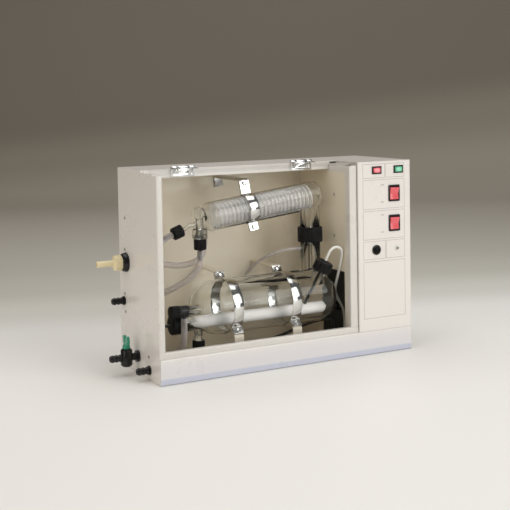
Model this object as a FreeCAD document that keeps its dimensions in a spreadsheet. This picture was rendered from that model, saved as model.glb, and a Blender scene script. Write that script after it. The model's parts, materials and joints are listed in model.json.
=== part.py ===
"""Glass water distiller: a sheet metal case with a horizontal glass boiler and a coil condenser.

Places are given as distances from the outer face of the left wall, from the front face of the
case and from the bench. The origin is the middle of the case's footprint, on the bench.
"""
import FreeCAD, Part
import Sketcher
import math
import os
from FreeCAD import Placement, Rotation, Vector

# Driving sizes, in millimetres and degrees
SIZES = {
    # Case
    "case_width": 550, "case_depth": 200, "case_height": 385,
    "sheet_wall": 1.5, "sheet_bend": 1, "plinth_height": 47, "rail_height": 12,
    "flange_width": 12, "flange_lip": 8, "rear_lip": 14, "corner_strip": 24,
    "chamber_width": 408, "fascia_setback": 80, "fascia_height": 16, "seam_flange": 6,
    "cutout_front": 26, "cutout_back": 110, "cutout_floor": 25, "cutout_top": 166,
    # Clear cover and its hinges
    "cover_width": 424, "cover_seam": 1, "cover_thickness": 4, "cover_gap": 0.3,
    "cover_bend": 2, "cover_inset": 0.5, "cover_rear_gap": 3, "cover_foot_gap": 0.6,
    "hinge_left": 84.5, "hinge_right": 342, "hinge_length": 48, "leaf_thickness": 1.2,
    "leaf_drop": 15, "leaf_reach": 16, "barrel_radius": 2.6, "hinge_pin_radius": 1.2,
    "pin_play": 0.05, "moving_gap": 0.3, "screw_spread": 15,
    # Boiler
    "glass_depth": 75, "boiler_radius": 52.5, "boiler_wall": 3, "boiler_height": 117,
    "boiler_left": 95.5, "boiler_right": 401, "left_round": 50, "right_round": 35,
    "column_place": 358.5, "column_radius": 20, "neck_wall": 2.5, "column_top": 246,
    "column_seal": 3, "drain_place": 109, "drain_radius": 8, "drain_end": 40,
    "feed_depth": 56, "feed_height": 119, "feed_radius": 9, "feed_end": 66,
    "heater_height": 91, "heater_neck_radius": 15, "heater_neck_end": 72,
    "sheath_radius": 12, "sheath_wall": 1.5, "sheath_end": 391, "sheath_start": 60,
    "vent_arm_height": 214, "vent_arm_radius": 2.2, "vent_arm_end": 327,
    # Condenser
    "condenser_radius": 28, "condenser_wall": 2.5, "condenser_length": 252,
    "condenser_start": 126, "condenser_height": 289.5, "condenser_slope": 7,
    "condenser_round": 12, "coil_tube_radius": 3.2, "coil_turns": 24, "coil_pitch": 8.6,
    "coil_start": 20, "bulb_radius": 13, "bulb_place": 114, "bulb_rise": 8.5,
    "outlet_place": 116, "outlet_radius": 7.3, "outlet_end": 236, "spigot_place": 136,
    "spigot_depth": 97, "spigot_radius": 4.2, "spigot_end": 232,
    # Screw caps
    "cap_top": 2.5, "cap_play": 0.1, "flute_radius": 1.4,
    "large_cap_radius": 25, "large_cap_height": 29.5, "middle_cap_radius": 18.5,
    "middle_cap_height": 24, "small_cap_radius": 12, "small_cap_height": 20,
    # Clamps and brackets
    "band_width": 20, "band_thickness": 1.5, "band_gap": 0.1, "lug_gap": 1.6,
    "lug_length": 15, "tall_lug_length": 25, "bolt_radius": 2.2, "bracket_thickness": 2.5,
    "clamp_one": 170, "clamp_two": 297, "condenser_clamp": 95,
    # Hoses and cables
    "hose_diameter": 12, "vent_hose_diameter": 6, "sensor_cable_diameter": 5.5,
    "heater_lead_diameter": 6,
    # Wall fittings
    "stub_radius": 5.5, "barb_root": 5.3, "barb_crest": 7, "barb_land": 2.4,
    "barb_pitch": 7.6, "barb_ridges": 3, "tail_root": 3.4, "tail_crest": 4.4,
    "elbow_radius": 6.6, "elbow_reach": 15, "nut_radius": 10, "nut_height": 5,
    "nozzle_depth": 163, "nozzle_height": 204, "nozzle_radius": 6, "nozzle_length": 29,
    "nozzle_root": 8,
    "outlet_depth": 178, "outlet_height": 127, "inlet_depth": 54, "inlet_height": 18,
    "tap_depth": 110, "tap_height": 33, "tap_body_radius": 11, "tap_body_height": 33,
    # Control panel
    "lamp_width": 22.5, "lamp_height": 15.5, "lamp_drop": 17.5, "red_lamp_place": 469.5,
    "green_lamp_place": 521.5, "rocker_width": 26.5, "rocker_height": 33,
    "rocker_place": 510.5, "upper_rocker_drop": 65, "lower_rocker_drop": 125,
    "bezel_rim": 3, "bezel_height": 2, "rocker_tilt": 8, "fuse_place": 467, "fuse_drop": 176.5,
    "fuse_radius": 10, "reset_place": 517, "reset_radius": 2.6, "reset_travel": 2,
    "gland_place": 500, "gland_row": 60, "gland_radius": 11,
}

doc = FreeCAD.newDocument("water_distiller")
NODES = []


class Size:
    """A size of the sheet, or a sum or product of sizes, with the formula that gives it."""

    def __init__(self, value, text):
        self.value = float(value)
        self.text = text

    def __float__(self):
        return self.value

    def combined(self, other, sign, value, swap=False):
        """Return the size made of this one and another with a sign between them."""
        pair = (formula(other), self.text) if swap else (self.text, formula(other))
        return Size(value, "(%s %s %s)" % (pair[0], sign, pair[1]))

    def __add__(self, other):
        return self.combined(other, "+", self.value + float(other))

    def __radd__(self, other):
        return self.combined(other, "+", float(other) + self.value, True)

    def __sub__(self, other):
        return self.combined(other, "-", self.value - float(other))

    def __rsub__(self, other):
        return self.combined(other, "-", float(other) - self.value, True)

    def __mul__(self, other):
        return self.combined(other, "*", self.value * float(other))

    def __rmul__(self, other):
        return self.combined(other, "*", float(other) * self.value, True)

    def __truediv__(self, other):
        return self.combined(other, "/", self.value / float(other))

    def __neg__(self):
        return self * -1


class SizeNames:
    """Holds each size of the sheet under its own name."""


def formula(item):
    """Return the text that stands for a size or a plain number in a formula."""
    return item.text if isinstance(item, Size) else "(%r)" % float(item)


def fill_sheet():
    """Write the driving sizes to the sheet and return them by name."""
    sheet = doc.addObject("Spreadsheet::Sheet", "Sizes")
    names = SizeNames()
    for row, (alias, value) in enumerate(SIZES.items(), start=1):
        sheet.set("A%d" % row, alias)
        sheet.set("B%d" % row, str(value))
        sheet.setAlias("B%d" % row, alias)
    doc.recompute()
    for alias in SIZES:
        setattr(names, alias, Size(sheet.get(alias), "Sizes." + alias))
    return names


s = fill_sheet()

# Sizes that follow from the driving ones
SEAT = s.cover_thickness + s.cover_gap
PANEL_LEFT = s.cover_width + s.cover_seam
RAIL_TOP = s.plinth_height + s.rail_height
REAR_INNER = s.case_depth - s.sheet_wall
STRIP_LENGTH = s.case_height - SEAT - RAIL_TOP - s.cover_bend
PIVOT_DEPTH = s.fascia_setback - s.barrel_radius
PIVOT_HEIGHT = s.case_height + s.barrel_radius + s.cover_gap
COVER_BACK = s.fascia_setback - s.cover_rear_gap
COVER_FOOT = s.plinth_height + s.cover_foot_gap
LAMP_ROW = s.case_height - s.lamp_drop
UPPER_ROCKER_ROW = s.case_height - s.upper_rocker_drop
LOWER_ROCKER_ROW = s.case_height - s.lower_rocker_drop
FUSE_ROW = s.case_height - s.fuse_drop
BULB_HEIGHT = s.condenser_height + s.bulb_rise
CONDENSER_AXIS = Vector(
    math.cos(math.radians(s.condenser_slope.value)), 0,
    math.sin(math.radians(s.condenser_slope.value)))

TURNS = {
    "X": Vector(1, 0, 0), "-X": Vector(-1, 0, 0), "Y": Vector(0, 1, 0),
    "-Y": Vector(0, -1, 0), "Z": Vector(0, 0, 1), "-Z": Vector(0, 0, -1),
}


# Placing and binding

def bind(item, prop, size):
    """Set a property to a size, bound to the sheet where the size comes from it."""
    if isinstance(size, Size):
        item.setExpression(prop, size.text)
    else:
        setattr(item, prop, size)


def spot(place):
    """Return a place on the still as a point of the document."""
    left, front, up = (float(part) for part in place)
    return Vector(left - s.case_width.value / 2, front - s.case_depth.value / 2, up)


def turned_to(along):
    """Return the turn that brings the Z axis onto a direction."""
    direction = TURNS[along] if isinstance(along, str) else along
    return Rotation(Vector(0, 0, 1), direction)


def put(item, place, turn=None):
    """Place an item and bind its place to the sheet."""
    item.Placement = Placement(spot(place), turn or Rotation())
    offsets = (s.case_width / 2, s.case_depth / 2, None)
    for name, part, offset in zip("xyz", place, offsets):
        size = part if offset is None else part - offset
        if isinstance(size, Size):
            item.setExpression("Placement.Base." + name, size.text)
    return item


def node(item, label):
    """Name a finished sub-part and keep it for the files."""
    item.Label = label
    NODES.append(item)
    return item


# Primitives and booleans

def box(name, lengths, place):
    """Return a box with its lowest corner at a place."""
    item = doc.addObject("Part::Box", name)
    for prop, size in zip(("Length", "Width", "Height"), lengths):
        bind(item, prop, size)
    return put(item, place)


def cylinder(name, radius, height, place, along="Z"):
    """Return a cylinder that stands on a place and points along a direction."""
    item = doc.addObject("Part::Cylinder", name)
    bind(item, "Radius", radius)
    bind(item, "Height", height)
    return put(item, place, turned_to(along))


def ball(name, radius, place):
    """Return a ball about a place."""
    item = doc.addObject("Part::Sphere", name)
    bind(item, "Radius", radius)
    return put(item, place)


def fuse(name, items):
    """Return several items made one."""
    item = doc.addObject("Part::MultiFuse", name)
    item.Shapes = items
    return item


def cut(name, base, tools):
    """Return a base less one or more tools."""
    item = doc.addObject("Part::Cut", name)
    item.Base = base
    item.Tool = tools[0] if len(tools) == 1 else fuse(name + "_tools", tools)
    return item


def group(name, items):
    """Return separate solids kept as one item."""
    item = doc.addObject("Part::Compound", name)
    item.Links = items
    return item


def feature(name, shape, place=None, turn=None):
    """Return an item whose shape was made by Part's own functions."""
    item = doc.addObject("Part::Feature", name)
    item.Shape = shape
    if place is not None:
        put(item, place, turn)
    return item


# Sketched bodies

def body_sketch(body, role, name):
    """Return a sketch on one of a body's own origin planes."""
    sketch = body.newObject("Sketcher::SketchObject", name)
    plane = next(item for item in body.Origin.OriginFeatures if item.Role == role)
    sketch.AttachmentSupport = [(plane, "")]
    sketch.MapMode = "FlatFace"
    return sketch


def draw_polygon(sketch, points):
    """Draw a closed polygon whose corners are dimensioned from the sketch's origin."""
    count = len(points)
    corners = [Vector(float(across), float(up), 0) for across, up in points]
    for index, corner in enumerate(corners):
        sketch.addGeometry(Part.LineSegment(corner, corners[(index + 1) % count]), False)
    for index in range(count):
        sketch.addConstraint(Sketcher.Constraint("Coincident", index, 2, (index + 1) % count, 1))
    for index, point in enumerate(points):
        for kind, axis, size in (("DistanceX", -2, point[0]), ("DistanceY", -1, point[1])):
            if abs(float(size)) < 1e-9:
                sketch.addConstraint(Sketcher.Constraint("PointOnObject", index, 1, axis))
                continue
            made = sketch.addConstraint(
                Sketcher.Constraint(kind, -1, 1, index, 1, float(size)))
            if isinstance(size, Size):
                sketch.setExpression("Constraints[%d]" % made, size.text)


def padded(name, role, length, place, points=None, edges=None, backwards=False):
    """Return a body padded from a polygon or from ready edges."""
    body = doc.addObject("PartDesign::Body", name)
    sketch = body_sketch(body, role, name + "_section")
    if points:
        draw_polygon(sketch, points)
    else:
        sketch.addGeometry(edges, False)
    pad = body.newObject("PartDesign::Pad", name + "_pad")
    pad.Profile = sketch
    bind(pad, "Length", length)
    pad.Reversed = backwards
    return put(body, place)


def revolved(name, place, along="Z", points=None, edges=None):
    """Return a body turned about its own Z axis, placed along a direction."""
    body = doc.addObject("PartDesign::Body", name)
    sketch = body_sketch(body, "XZ_Plane", name + "_profile")
    if points:
        draw_polygon(sketch, points)
    else:
        sketch.addGeometry(edges, False)
    turn = body.newObject("PartDesign::Revolution", name + "_turn")
    turn.Profile = sketch
    turn.ReferenceAxis = (sketch, ["V_Axis"])
    turn.Angle = 360
    return put(body, place, turned_to(along))


def rounded_outline(points, radii):
    """Return the edges of a closed polygon whose corners are rounded."""
    corners = []
    count = len(points)
    for index, (point, radius) in enumerate(zip(points, radii)):
        here = Vector(float(point[0]), float(point[1]), 0)
        if radius <= 0:
            corners.append((here, None, here))
            continue
        before, after = points[index - 1], points[(index + 1) % count]
        back = (Vector(float(before[0]), float(before[1]), 0) - here).normalize()
        ahead = (Vector(float(after[0]), float(after[1]), 0) - here).normalize()
        half = back.getAngle(ahead) / 2
        inward = (back + ahead).normalize()
        reach = radius / math.tan(half)
        middle = here + inward * (radius / math.sin(half) - radius)
        corners.append((here + back * reach, middle, here + ahead * reach))
    edges = []
    for index, (start, middle, end) in enumerate(corners):
        if middle is not None:
            edges.append(Part.Arc(start, middle, end))
        next_start = corners[(index + 1) % count][0]
        if (next_start - end).Length > 1e-6:
            edges.append(Part.LineSegment(end, next_start))
    return edges


def strip_outline(points, thickness, bend, side):
    """Return the section of a sheet folded along points, on their left (1) or right (-1)."""
    path = [Vector(float(across), float(up), 0) for across, up in points]
    runs = [(after - before).normalize() for before, after in zip(path, path[1:])]
    runs = [runs[0]] + runs + [runs[-1]]
    inside, path_radii, inside_radii = [], [], []
    for index, point in enumerate(path):
        first, second = runs[index], runs[index + 1]
        normals = [Vector(-run.y, run.x, 0) * side for run in (first, second)]
        shift = (normals[0] + normals[1]) * (thickness / (1 + normals[0].dot(normals[1])))
        inside.append(point + shift)
        turn = first.cross(second).z * side
        ends = 0 if abs(turn) < 1e-9 else 1
        path_radii.append(ends * (bend + thickness if turn > 0 else bend))
        inside_radii.append(ends * (bend if turn > 0 else bend + thickness))
    loop = [(point.x, point.y) for point in path + inside[::-1]]
    return rounded_outline(loop, path_radii + inside_radii[::-1])


def folded(name, role, path, side, length, place, thickness=None, bend=None):
    """Return a body of sheet folded along a path."""
    edges = strip_outline(
        path, float(thickness or s.sheet_wall), float(bend or s.sheet_bend), side)
    return padded(name, role, length, place, edges=edges)


# Turned parts and tubes

def barb_points(root, crest, start, bore):
    """Return the half section of a hose barb that stands on a start height."""
    points = [(bore, start), (root, start)]
    for ridge in range(int(s.barb_ridges.value)):
        foot = start + s.barb_pitch * ridge
        points += [(crest, foot + 0.8), (crest, foot + 0.8 + s.barb_land)]
        points += [(root, foot + s.barb_pitch)]
    points += [(bore, start + s.barb_pitch * s.barb_ridges)]
    return points


def screw_cap(label, radius, height, neck, hole, place, along, flutes=20, flute=None):
    """Return a fluted screw cap that grips a neck and turns on its threads."""
    flute = flute or s.flute_radius
    bore = neck + s.cap_play
    outer = [(bore, 0), (radius - 0.6, 0), (radius, 0.6), (radius, height - 1.5),
             (radius - 1.5, height), (hole, height)]
    if float(hole) <= 0:
        outer[-1] = (0, height)
    outer += [(hole if float(hole) > 0 else 0, height - s.cap_top), (bore, height - s.cap_top)]
    if abs(float(hole) - float(bore)) < 1e-6:
        outer = outer[:-2]
    body = revolved(label, place, along, points=outer)
    ring = body_sketch(body, "XY_Plane", label + "_flute")
    centre = Vector(radius.value + flute.value * 0.55, 0, 0)
    ring.addGeometry(Part.Circle(centre, Vector(0, 0, 1), flute.value), False)
    pocket = body.newObject("PartDesign::Pocket", label + "_groove")
    pocket.Profile = ring
    pocket.Reversed = True
    pocket.Type = "Length"
    bind(pocket, "Length", height * 0.82)
    pattern = body.newObject("PartDesign::PolarPattern", label + "_flutes")
    pattern.Originals = [pocket]
    pattern.Axis = (ring, ["N_Axis"])
    pattern.Angle = 360
    pattern.Occurrences = flutes
    body.Tip = pattern
    return node(body, label)


def bent_path(points, share=0.45, name=None):
    """Return straight runs joined by tangent arcs, and print their radii if named."""
    spots = [spot(point) for point in points]
    edges, radii = [], []
    start = spots[0]
    for before, here, after in zip(spots, spots[1:], spots[2:]):
        back, ahead = before - here, after - here
        shorter = min(back.Length, ahead.Length)
        back.normalize()
        ahead.normalize()
        half = back.getAngle(ahead) / 2
        reach = share * shorter
        radius = reach * math.tan(half)
        inward = (back + ahead).normalize()
        middle = here + inward * (radius / math.sin(half) - radius)
        first, last = here + back * reach, here + ahead * reach
        edges += [Part.LineSegment(start, first).toShape(), Part.Arc(first, middle, last).toShape()]
        radii.append(radius)
        start = last
    edges.append(Part.LineSegment(start, spots[-1]).toShape())
    path = Part.Wire(edges)
    if name:
        print("%s: length %.0f, radii %s" % (
            name, path.Length, " ".join("%.0f" % radius for radius in radii)))
    return path


def swept(path, radius):
    """Return a round bar swept along a path."""
    edge = path.Edges[0]
    start = edge.valueAt(edge.FirstParameter)
    ring = Part.Wire(Part.makeCircle(radius, start, edge.tangentAt(edge.FirstParameter)))
    bar = path.makePipeShell([ring], True, False)
    expected = math.pi * radius ** 2 * path.Length
    if abs(bar.Volume - expected) > 0.01 * expected:
        raise ValueError("swept bar has volume %.0f instead of %.0f" % (bar.Volume, expected))
    return bar


def hose(label, points, diameter):
    """Return a hose or cable that runs through hand chosen points."""
    path = bent_path(points, name=label)
    return node(feature(label, swept(path, float(diameter) / 2)), label)


def screws(label, places, along, head_radius=3.2, head_height=1.8, shank_radius=1.6,
           shank_length=5.0):
    """Return a group of pan head screws whose heads point along a direction."""
    solids = []
    for place in places:
        outline = rounded_outline(
            [(0, -shank_length), (shank_radius, -shank_length), (shank_radius, 0),
             (head_radius, 0), (head_radius, head_height), (0, head_height)],
            [0, 0, 0, 0, head_height * 0.7, 0])
        face = Part.Face(Part.Wire([edge.toShape() for edge in outline]))
        face.rotate(Vector(), Vector(1, 0, 0), 90)
        solid = face.revolve(Vector(), Vector(0, 0, 1), 360)
        solid.Placement = Placement(spot(place), turned_to(along))
        solids.append(solid)
    return feature(label, Part.makeCompound(solids))


def holes(name, places, radius, length, along):
    """Return the cutters for a row of round holes."""
    return [cylinder("%s_%d" % (name, index), radius, length, place, along)
            for index, place in enumerate(places)]


# Case

LEFT_SCREWS = [(0, 165, 289), (0, 169, 228), (0, 174, 141), (0, 172, 106), (0, 56, 42)]
PARTITION_SCREWS = [
    (s.chamber_width, 61, s.case_height - 66), (s.chamber_width, 62, s.case_height - 150)]
REAR_SCREWS = [
    (12, s.case_depth, s.case_height - 13), (s.case_width - 12, s.case_depth, s.case_height - 13),
    (12, s.case_depth, 30), (s.case_width - 12, s.case_depth, 30)]


def base_tray():
    """Make the folded floor with its plinth and the rail that the cover closes against."""
    path = [
        (REAR_INNER, s.rear_lip), (REAR_INNER, 0), (0, 0), (0, s.plinth_height),
        (SEAT, s.plinth_height), (SEAT, RAIL_TOP), (SEAT + s.flange_lip, RAIL_TOP)]
    length = s.case_width - 2 * s.sheet_wall
    tray = folded("tray_sheet", "YZ_Plane", path, -1, length, (s.sheet_wall, 0, 0))
    spare = box(
        "rail_end", (s.case_width, s.case_depth, s.rail_height * 2),
        (PANEL_LEFT, -1, s.plinth_height))
    node(cut("base_tray", tray, [spare]), "base_tray")


def left_panel():
    """Make the left wall with its front flange, cover ledge and holes for the fittings."""
    points = [
        (0, 0), (s.case_depth, 0), (s.case_depth, s.case_height - s.sheet_wall),
        (s.fascia_setback, s.case_height - s.sheet_wall),
        (s.fascia_setback, s.case_height - SEAT), (s.corner_strip, s.case_height - SEAT),
        (s.corner_strip, RAIL_TOP), (SEAT, RAIL_TOP), (SEAT, s.plinth_height),
        (0, s.plinth_height)]
    plate = padded("left_plate", "YZ_Plane", s.sheet_wall, (0, 0, 0), points=points)
    path = [(0, s.corner_strip), (0, SEAT), (s.flange_width, SEAT),
            (s.flange_width, SEAT + s.flange_lip)]
    strip = folded("left_strip", "XY_Plane", path, 1, STRIP_LENGTH, (0, 0, RAIL_TOP))
    ledge = box(
        "left_ledge",
        (s.flange_width, s.fascia_setback - s.corner_strip, s.sheet_wall),
        (0, s.corner_strip, s.case_height - SEAT - s.sheet_wall))
    tools = holes("left_screw_hole", LEFT_SCREWS, 1.6, 10, "X")
    spots = [(0, s.outlet_depth, s.outlet_height), (0, s.inlet_depth, s.inlet_height),
             (0, s.tap_depth, s.tap_height)]
    tools += holes("fitting_hole", [(-2, y, z) for x, y, z in spots], s.stub_radius, 10, "X")
    tools.append(cylinder(
        "nozzle_hole", s.nozzle_root, 10, (-2, s.nozzle_depth, s.nozzle_height), "X"))
    panel = cut("left_side_panel", fuse("left_sheet", [plate, strip, ledge]), tools)
    node(panel, "left_side_panel")


def right_panel():
    """Make the plain right wall."""
    lengths = (s.sheet_wall, s.case_depth, s.case_height - s.sheet_wall)
    node(box("right_side_panel", lengths, (s.case_width - s.sheet_wall, 0, 0)),
         "right_side_panel")


def rear_panel():
    """Make the back with its holes for the cable gland, the vent and the screws."""
    lengths = (s.case_width - 2 * s.sheet_wall, s.sheet_wall, s.case_height - s.sheet_wall)
    sheet = box("rear_sheet", lengths, (s.sheet_wall, REAR_INNER, 0))
    tools = holes("rear_screw_hole", REAR_SCREWS, 1.6, 10, "-Y")
    tools.append(cylinder(
        "gland_hole", s.gland_radius - 3, 10, (s.gland_place, REAR_INNER - 2, s.gland_row), "Y"))
    tools.append(cylinder(
        "vent_hole", s.vent_hose_diameter / 2 + 1.5, 10,
        (VENT_END[0], REAR_INNER - 2, VENT_END[2]), "Y"))
    node(cut("rear_panel", sheet, tools), "rear_panel")


def top_cover():
    """Make the fixed top: the strip behind the clear cover and the lid of the control box."""
    points = [
        (0, s.fascia_setback), (PANEL_LEFT, s.fascia_setback), (PANEL_LEFT, 0),
        (s.case_width, 0), (s.case_width, s.case_depth), (0, s.case_depth)]
    level = s.case_height - s.sheet_wall
    plate = padded("top_plate", "XY_Plane", s.sheet_wall, (0, 0, level), points=points)
    fascia = box(
        "fascia", (s.chamber_width - s.sheet_wall, s.sheet_wall, s.fascia_height - s.sheet_wall),
        (s.sheet_wall, s.fascia_setback, s.case_height - s.fascia_height))
    flange = box(
        "seam_side", (s.sheet_wall, s.fascia_setback - s.flange_width, s.seam_flange),
        (PANEL_LEFT, s.flange_width, level - s.seam_flange))
    tools = holes("fascia_hole", FASCIA_SCREWS, HINGE_SHANK, 10, "Y")
    node(cut("top_cover", fuse("top_sheet", [plate, fascia, flange]), tools), "top_cover")


def partition():
    """Make the wall between the glassware and the control box, with its wiring cut-out."""
    clear = SEAT + s.flange_lip + s.cover_gap
    points = [
        (clear, s.sheet_wall), (REAR_INNER - 2 * s.sheet_wall, s.sheet_wall),
        (REAR_INNER - 2 * s.sheet_wall, s.rear_lip), (REAR_INNER, s.rear_lip),
        (REAR_INNER, s.case_height - s.sheet_wall),
        (s.fascia_setback, s.case_height - s.sheet_wall),
        (s.fascia_setback, s.case_height - SEAT), (s.corner_strip, s.case_height - SEAT),
        (s.corner_strip, RAIL_TOP), (clear, RAIL_TOP)]
    place = (s.chamber_width, 0, 0)
    plate = padded("partition_plate", "YZ_Plane", s.sheet_wall, place, points=points)
    path = [(0, s.corner_strip), (0, SEAT), (s.cover_width - s.chamber_width, SEAT)]
    strip = folded(
        "partition_strip", "XY_Plane", path, 1, STRIP_LENGTH, (s.chamber_width, 0, RAIL_TOP))
    ledge = box(
        "partition_ledge",
        (s.cover_width - s.chamber_width, s.fascia_setback - s.corner_strip, s.sheet_wall),
        (s.chamber_width, s.corner_strip, s.case_height - SEAT - s.sheet_wall))
    opening = box(
        "wiring_cutout",
        (10, s.cutout_back - s.cutout_front, s.cutout_top - s.cutout_floor),
        (s.chamber_width - 2, s.cutout_front, s.cutout_floor))
    tools = [opening] + holes("partition_hole", PARTITION_SCREWS, 1.6, 10, "X")
    wall = cut("partition_wall", fuse("partition_sheet", [plate, strip, ledge]), tools)
    node(wall, "partition_wall")


def control_panel():
    """Make the front of the control box with its holes for lamps, switches and fuse."""
    path = [(0, s.flange_width), (0, 0), (s.case_width - s.sheet_wall - PANEL_LEFT, 0)]
    level = s.case_height - s.sheet_wall
    sheet = folded(
        "panel_sheet", "XY_Plane", path, 1, level - s.plinth_height,
        (PANEL_LEFT, 0, s.plinth_height))
    tools = []
    for index, place in enumerate((s.red_lamp_place, s.green_lamp_place)):
        tools.append(centred_box(
            "lamp_hole_%d" % index, s.lamp_width - 4, 10, s.lamp_height - 4,
            (place, 0, LAMP_ROW)))
    for index, row in enumerate((UPPER_ROCKER_ROW, LOWER_ROCKER_ROW)):
        tools.append(centred_box(
            "rocker_hole_%d" % index, s.rocker_width - 3, 10, s.rocker_height - 3,
            (s.rocker_place, 0, row)))
    tools.append(cylinder(
        "fuse_hole", s.fuse_radius - 2, 10, (s.fuse_place, -2, FUSE_ROW), "Y"))
    tools.append(cylinder(
        "reset_hole", s.reset_radius + 1.4, 10, (s.reset_place, -2, FUSE_ROW), "Y"))
    node(cut("control_panel", sheet, tools), "control_panel")


def centred_box(name, width, depth, height, place):
    """Return a box centred on a place on the panel, half before it and half behind it."""
    left, front, up = place
    return box(name, (width, depth, height), (left - width / 2, front - depth / 2, up - height / 2))


# Clear cover and hinges

HINGE_SHANK = 1.5
HINGE_CENTRES = (s.hinge_left, s.hinge_right)
HINGE_SPREADS = [place + side * s.screw_spread for place in HINGE_CENTRES for side in (-1, 1)]
FASCIA_ROW = s.case_height - 8
COVER_ROW = PIVOT_DEPTH - 11
FASCIA_SCREWS = [(place, s.fascia_setback - s.leaf_thickness, FASCIA_ROW)
                 for place in HINGE_SPREADS]
COVER_SCREWS = [(place, COVER_ROW, s.case_height + s.leaf_thickness) for place in HINGE_SPREADS]


def clear_cover():
    """Make the folded clear sheet that closes the chamber in front and above."""
    path = [(COVER_BACK, s.case_height), (0, s.case_height), (0, COVER_FOOT)]
    sheet = folded(
        "cover_sheet", "YZ_Plane", path, 1, s.cover_width - s.cover_inset,
        (s.cover_inset, 0, 0), s.cover_thickness, s.cover_bend)
    tools = holes("cover_hole", COVER_SCREWS, HINGE_SHANK, 10, "-Z")
    node(cut("clear_cover", sheet, tools), "clear_cover")


def hinges():
    """Make the fixed leaves, the moving leaves and the pins of the two hinges."""
    fixed, moving, pins = [], [], []
    knuckle = s.hinge_length / 4
    middle = s.hinge_length / 2 - 2 * s.moving_gap
    for index, centre in enumerate(HINGE_CENTRES):
        start = centre - s.hinge_length / 2
        leaf = box(
            "fixed_leaf_%d" % index, (s.hinge_length, s.leaf_thickness, s.leaf_drop),
            (start, s.fascia_setback - s.leaf_thickness, s.case_height - s.leaf_drop))
        rises = [box(
            "leaf_rise_%d_%d" % (index, side),
            (knuckle, s.leaf_thickness, PIVOT_HEIGHT - s.case_height),
            (start + side * 3 * knuckle, s.fascia_setback - s.leaf_thickness, s.case_height))
            for side in (0, 1)]
        barrels = [cylinder(
            "fixed_knuckle_%d_%d" % (index, side), s.barrel_radius, knuckle,
            (start + side * 3 * knuckle, PIVOT_DEPTH, PIVOT_HEIGHT), "X") for side in (0, 1)]
        bore = cylinder(
            "fixed_bore_%d" % index, s.hinge_pin_radius, s.hinge_length,
            (start, PIVOT_DEPTH, PIVOT_HEIGHT), "X")
        spots = holes("fixed_hole_%d" % index, FASCIA_SCREWS[2 * index:2 * index + 2],
                      HINGE_SHANK, 5, "Y")
        fixed.append(cut(
            "fixed_hinge_%d" % index, fuse("fixed_parts_%d" % index, [leaf] + rises + barrels),
            [bore] + spots))
        pins.append(cylinder(
            "hinge_pin_%d" % index, s.hinge_pin_radius, s.hinge_length,
            (start, PIVOT_DEPTH, PIVOT_HEIGHT), "X"))
        front = PIVOT_DEPTH - s.leaf_reach
        flap = box(
            "moving_leaf_%d" % index,
            (s.hinge_length, s.leaf_reach - s.barrel_radius - s.moving_gap, s.leaf_thickness),
            (start, front, s.case_height))
        tongue = box(
            "leaf_tongue_%d" % index, (middle, s.leaf_reach, s.leaf_thickness),
            (centre - middle / 2, front, s.case_height))
        roll = cylinder(
            "moving_knuckle_%d" % index, s.barrel_radius, middle,
            (centre - middle / 2, PIVOT_DEPTH, PIVOT_HEIGHT), "X")
        bore = cylinder(
            "moving_bore_%d" % index, s.hinge_pin_radius + s.pin_play, middle,
            (centre - middle / 2, PIVOT_DEPTH, PIVOT_HEIGHT), "X")
        spots = holes("moving_hole_%d" % index, COVER_SCREWS[2 * index:2 * index + 2],
                      HINGE_SHANK, 5, "-Z")
        moving.append(cut(
            "moving_hinge_%d" % index, fuse("moving_parts_%d" % index, [flap, tongue, roll]),
            [bore] + spots))
    node(group("hinge_fixed_leaves", fixed + pins), "hinge_fixed_leaves")
    node(group("hinge_moving_leaves", moving), "hinge_moving_leaves")
    node(screws("cover_screws", COVER_SCREWS, "Z", 2.8, 1.4, HINGE_SHANK,
                s.cover_thickness.value + s.leaf_thickness.value + 2), "cover_screws")


def case_screws():
    """Make the screws of the case and of the fixed hinge leaves."""
    sets = [
        screws("side_screws", LEFT_SCREWS, "-X"),
        screws("partition_screws", PARTITION_SCREWS, "-X"),
        screws("rear_screws", REAR_SCREWS, "Y"),
        screws("hinge_screws", FASCIA_SCREWS, "-Y", 2.8, 1.4, HINGE_SHANK, 6)]
    node(group("case_screws", sets), "case_screws")


# Glassware

SENSOR_FOOT = (346.4, 46, 141)
SENSOR_AIM = Vector(10, -9, 27).normalize()
SENSOR_NECK_RADIUS = Size(13, "(13)")
SENSOR_NECK_LENGTH = 49
FEED_TAIL = (69, 50)


def vessel(name, radius, start, end, depth, height, rounds, along="X"):
    """Return a solid round vessel with rounded ends, along the boiler's direction."""
    length = float(end) - float(start)
    edges = rounded_outline(
        [(0, 0), (radius, 0), (radius, length), (0, length)],
        [0, float(rounds[0]), float(rounds[1]), 0])
    return revolved(name, (start, depth, height), along, edges=edges)


def along_sensor(distance):
    """Return the place a distance up the sensor's neck."""
    return tuple(part + distance * step for part, step in zip(SENSOR_FOOT, SENSOR_AIM))


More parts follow.
